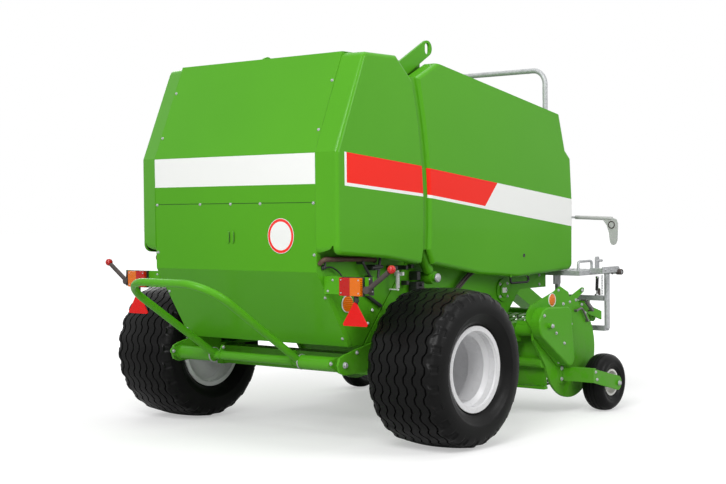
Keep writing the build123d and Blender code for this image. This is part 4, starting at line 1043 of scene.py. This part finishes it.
mesh = bmesh.new()
sheet_end, sheet_thickness = -868, 3
bends = (1200, 562), (1222, 480), (1238, 400), (1240, 300), (1252, 230), (1256, 187)
sheet_edge = [(y, z) for y, z in bends] + [(y - sheet_thickness, z) for y, z in bends[::-1]]
plate(mesh, [at(sheet_end, y, z) for y, z in sheet_edge], (1, 0, 0), -2 * sheet_end / 1000)
keep("pickup_back_sheet", mesh, "pickup", "green_paint")
print("pickup fitted")

# %% [markdown]
# ## Platform
#
# The platform's plate has rows of raised studs for grip. Beside it stand a grab loop, a stop with its
# pin and a flat bar. A bump in the material could stand for the studs, but they show from the side, so
# each one is turned, and two loops set them out.

# %% Platform fittings
stud_rows, stud_columns, row_step, column_step = 7, 15, 42, 43
stud = ((0.0085, -0.0005), (0.0075, 0.0015), (0.0045, 0.0035), (0.002, 0.0038))
mesh = bmesh.new()
for row in range(stud_rows):
    for column in range(stud_columns):
        spot = at(222 + column_step * column + 21 * (row % 2), 1690 + row_step * row, 885)
        turned(mesh, stud, spot, (0, 0, 1), 10)
keep("platform_studs", mesh, "chassis", "galvanised")

mesh = bmesh.new()
bar(mesh, [at(820, y, z) for y, z in ((1716, 880), (1716, 944), (1887, 944), (1887, 880))], 0.009, 0.022)
stop = ((1902, 880), (1950, 880), (1950, 962), (1942, 971), (1910, 971), (1902, 962))
plate(mesh, [at(834, y, z) for y, z in stop], (1, 0, 0), 0.008)
bar(mesh, [at(838, 1925, 943), at(838, 1990, 943)], 0.009, steps=12)
flat_end = [(1995 + 20 * c, 888 + 20 * s) for c, s in circle(16, -pi / 2)[:9]]
plate(mesh, [at(950, y, z) for y, z in [(1792, 868), *flat_end, (1792, 908)]], (1, 0, 0), 0.006)
foot = ((860, 868), (860, 900), (952, 900), (952, 868))
plate(mesh, [at(x, 1792, z) for x, z in foot], (0, 1, 0), 0.006)
side_bolts(mesh, 1, 956, 0.008, (1830, 888), (1900, 888))
keep("platform_grips", mesh, "chassis", "galvanised")
print("platform fitted")

# %% [markdown]
# ## Ladder and net arm
#
# Rubber caps close the ladder's pivot bar, and a short strut with a plated rod rides on the ladder. Its
# chain hangs beside it: each link is a small bent bar, a quarter turn from the one above, as real
# links lie. The net arm has a sleeve, a rounded paddle and a black ring.

# %% Ladder and net arm
mesh = bmesh.new()
for x, low in ((908, 0), (974, -0.030)):
    cap = ((0.0153, low), (0.019, low), (0.019, 0.004), (0.016, 0.008), (0.0153, 0.009))
    turned(mesh, cap, at(x, 2000, 870), (1, 0, 0), closed=True)
keep("ladder_bar_caps", mesh, "chassis", "black_rubber")
mesh = bmesh.new()
bar(mesh, [at(x, 1992, z) for x, z in ((800, 828), (796, 742))], 0.0105, steps=14)
keep("ladder_strut_body", mesh, "ladder", "black_steel")
mesh = bmesh.new()
bar(mesh, [at(x, 1992, z) for x, z in ((797, 750), (792, 712))], 0.005, steps=10)
for x, z in ((792, 712), (800, 830)):
    bar(mesh, [at(x, 1980, z), at(x, 2008, z)], 0.009, steps=12)
keep("ladder_strut_rod", mesh, "ladder", "chrome_rod")

links, link_step, wide = 9, 17, 5
mesh = bmesh.new()
for link in range(links):
    z = 850 - link_step * link
    side_y, side_x = (0, wide) if link % 2 else (wide, 0)
    loop = [at(872 + side_x * a, 1930 + side_y * a, z - b) for a, b in (
        (0.2, 0), (1, 5), (1, 17), (0, 22), (-1, 17), (-1, 5), (-0.2, 0))]
    bar(mesh, loop, 0.0018, 0.003, 6)
keep("ladder_chain", mesh, "chassis", "galvanised")

mesh = bmesh.new()
ring_section = [(0.022 + 0.0035 * c, 0.0035 * s) for c, s in circle(10)]
turned(mesh, ring_section, at(965, 1892, 1180), (0, 1, 0), 30, closed=True)
keep("net_arm_ring", mesh, "chassis", "black_rubber")
mesh = bmesh.new()
paddle = (
    (872, 1226), (985, 1222), (1004, 1212), (1012, 1190), (1011, 1120), (1008, 1078), (998, 1056),
    (980, 1047), (962, 1052), (952, 1070), (944, 1130), (930, 1175), (905, 1208),
)
bar(mesh, [at(x, 1900, z) for x, z in ((690, 1230), (920, 1222), (968, 1220.5))], 0.0125, steps=14)
plate(mesh, [at(x, 1895.7, z) for x, z in paddle], (0, -1, 0), 0.003)
keep("net_arm_paddle", mesh, "chassis", "galvanised", material=dull_zinc)
print("ladder and net arm fitted")

# %% [markdown]
# ## Front end
#
# At the front the gearbox's splined shaft waits for the tractor's. The towing eye has a wear ring, the
# jack's crank a ribbed grip, and the drawbar is bolted down. Each front cover has a turn lock. The
# splines are thin bars set round the shaft, which is simpler than cutting teeth into it and looks the
# same at this size.

# %% Shaft, eye and jack
mesh = bmesh.new()
shaft_z, spline_circle = 1020, 18
for c, s in circle(6):
    x, z = spline_circle * c, shaft_z + spline_circle * s
    bar(mesh, [at(x, 1792, z), at(x, 1856, z)], 0.003, steps=8)
shaft_ring = ((0.019, 0.0), (0.024, 0.001), (0.024, 0.008), (0.019, 0.009))
turned(mesh, shaft_ring, at(0, 1785, shaft_z), (0, 1, 0), closed=True)
keep("shaft_splines", mesh, "chassis", "dark_steel")

mesh = bmesh.new()
for x in (-82, 82):
    for z in (950, 1090):
        bolt(mesh, at(x, 1735, z), (0, 1, 0), 0.009)
for x in (-38, 38):
    for y in (1690, 1770, 1850):
        bolt(mesh, at(x, y, 905), (0, 0, 1), 0.011)
turned(mesh, ((0.0255, 0.018), (0.036, 0.018), (0.036, 0.0225), (0.033, 0.0235), (0.0255, 0.0235)),
       at(0, 3080, 540), (0, 0, 1), 40, closed=True)
for x in (-480, -320, 320, 480):
    bolt(mesh, at(x, 1640, 840), (0, 1, 0), 0.011)
keep("front_bolts", mesh, "chassis", "galvanised")

mesh = bmesh.new()
ribs = [(0.0145 - 0.0015 * (step % 2), 0.004 + 0.004 * step) for step in range(14)]
turned(mesh, [(0.0112, 0), *ribs, (0.009, 0.062)], at(227, 3000, 629), (0, 0, 1), 16)
keep("jack_grip", mesh, "chassis", "black_rubber")
mesh = bmesh.new()
collar = ((0.0305, 0.0098), (0.042, 0.0098), (0.034, 0.019), (0.0305, 0.024))
turned(mesh, collar, at(105, 3000, 0), (0, 0, 1), 32, closed=True)
keep("jack_collar", mesh, "jack_leg", "galvanised")

for hand, side in ((1, "right"), (-1, "left")):
    mesh = bmesh.new()
    turned(mesh, ((0.012, -0.001), (0.012, 0.0012), (0.0105, 0.0022), (0.0065, 0.0018), (0.006, 0.0004)),
           at(hand * 759, 1172, 1001), (hand, 0, 0))
    keep("cover_lock_" + side, mesh, "front_cover_" + side, "black_steel")
print("front fitted")
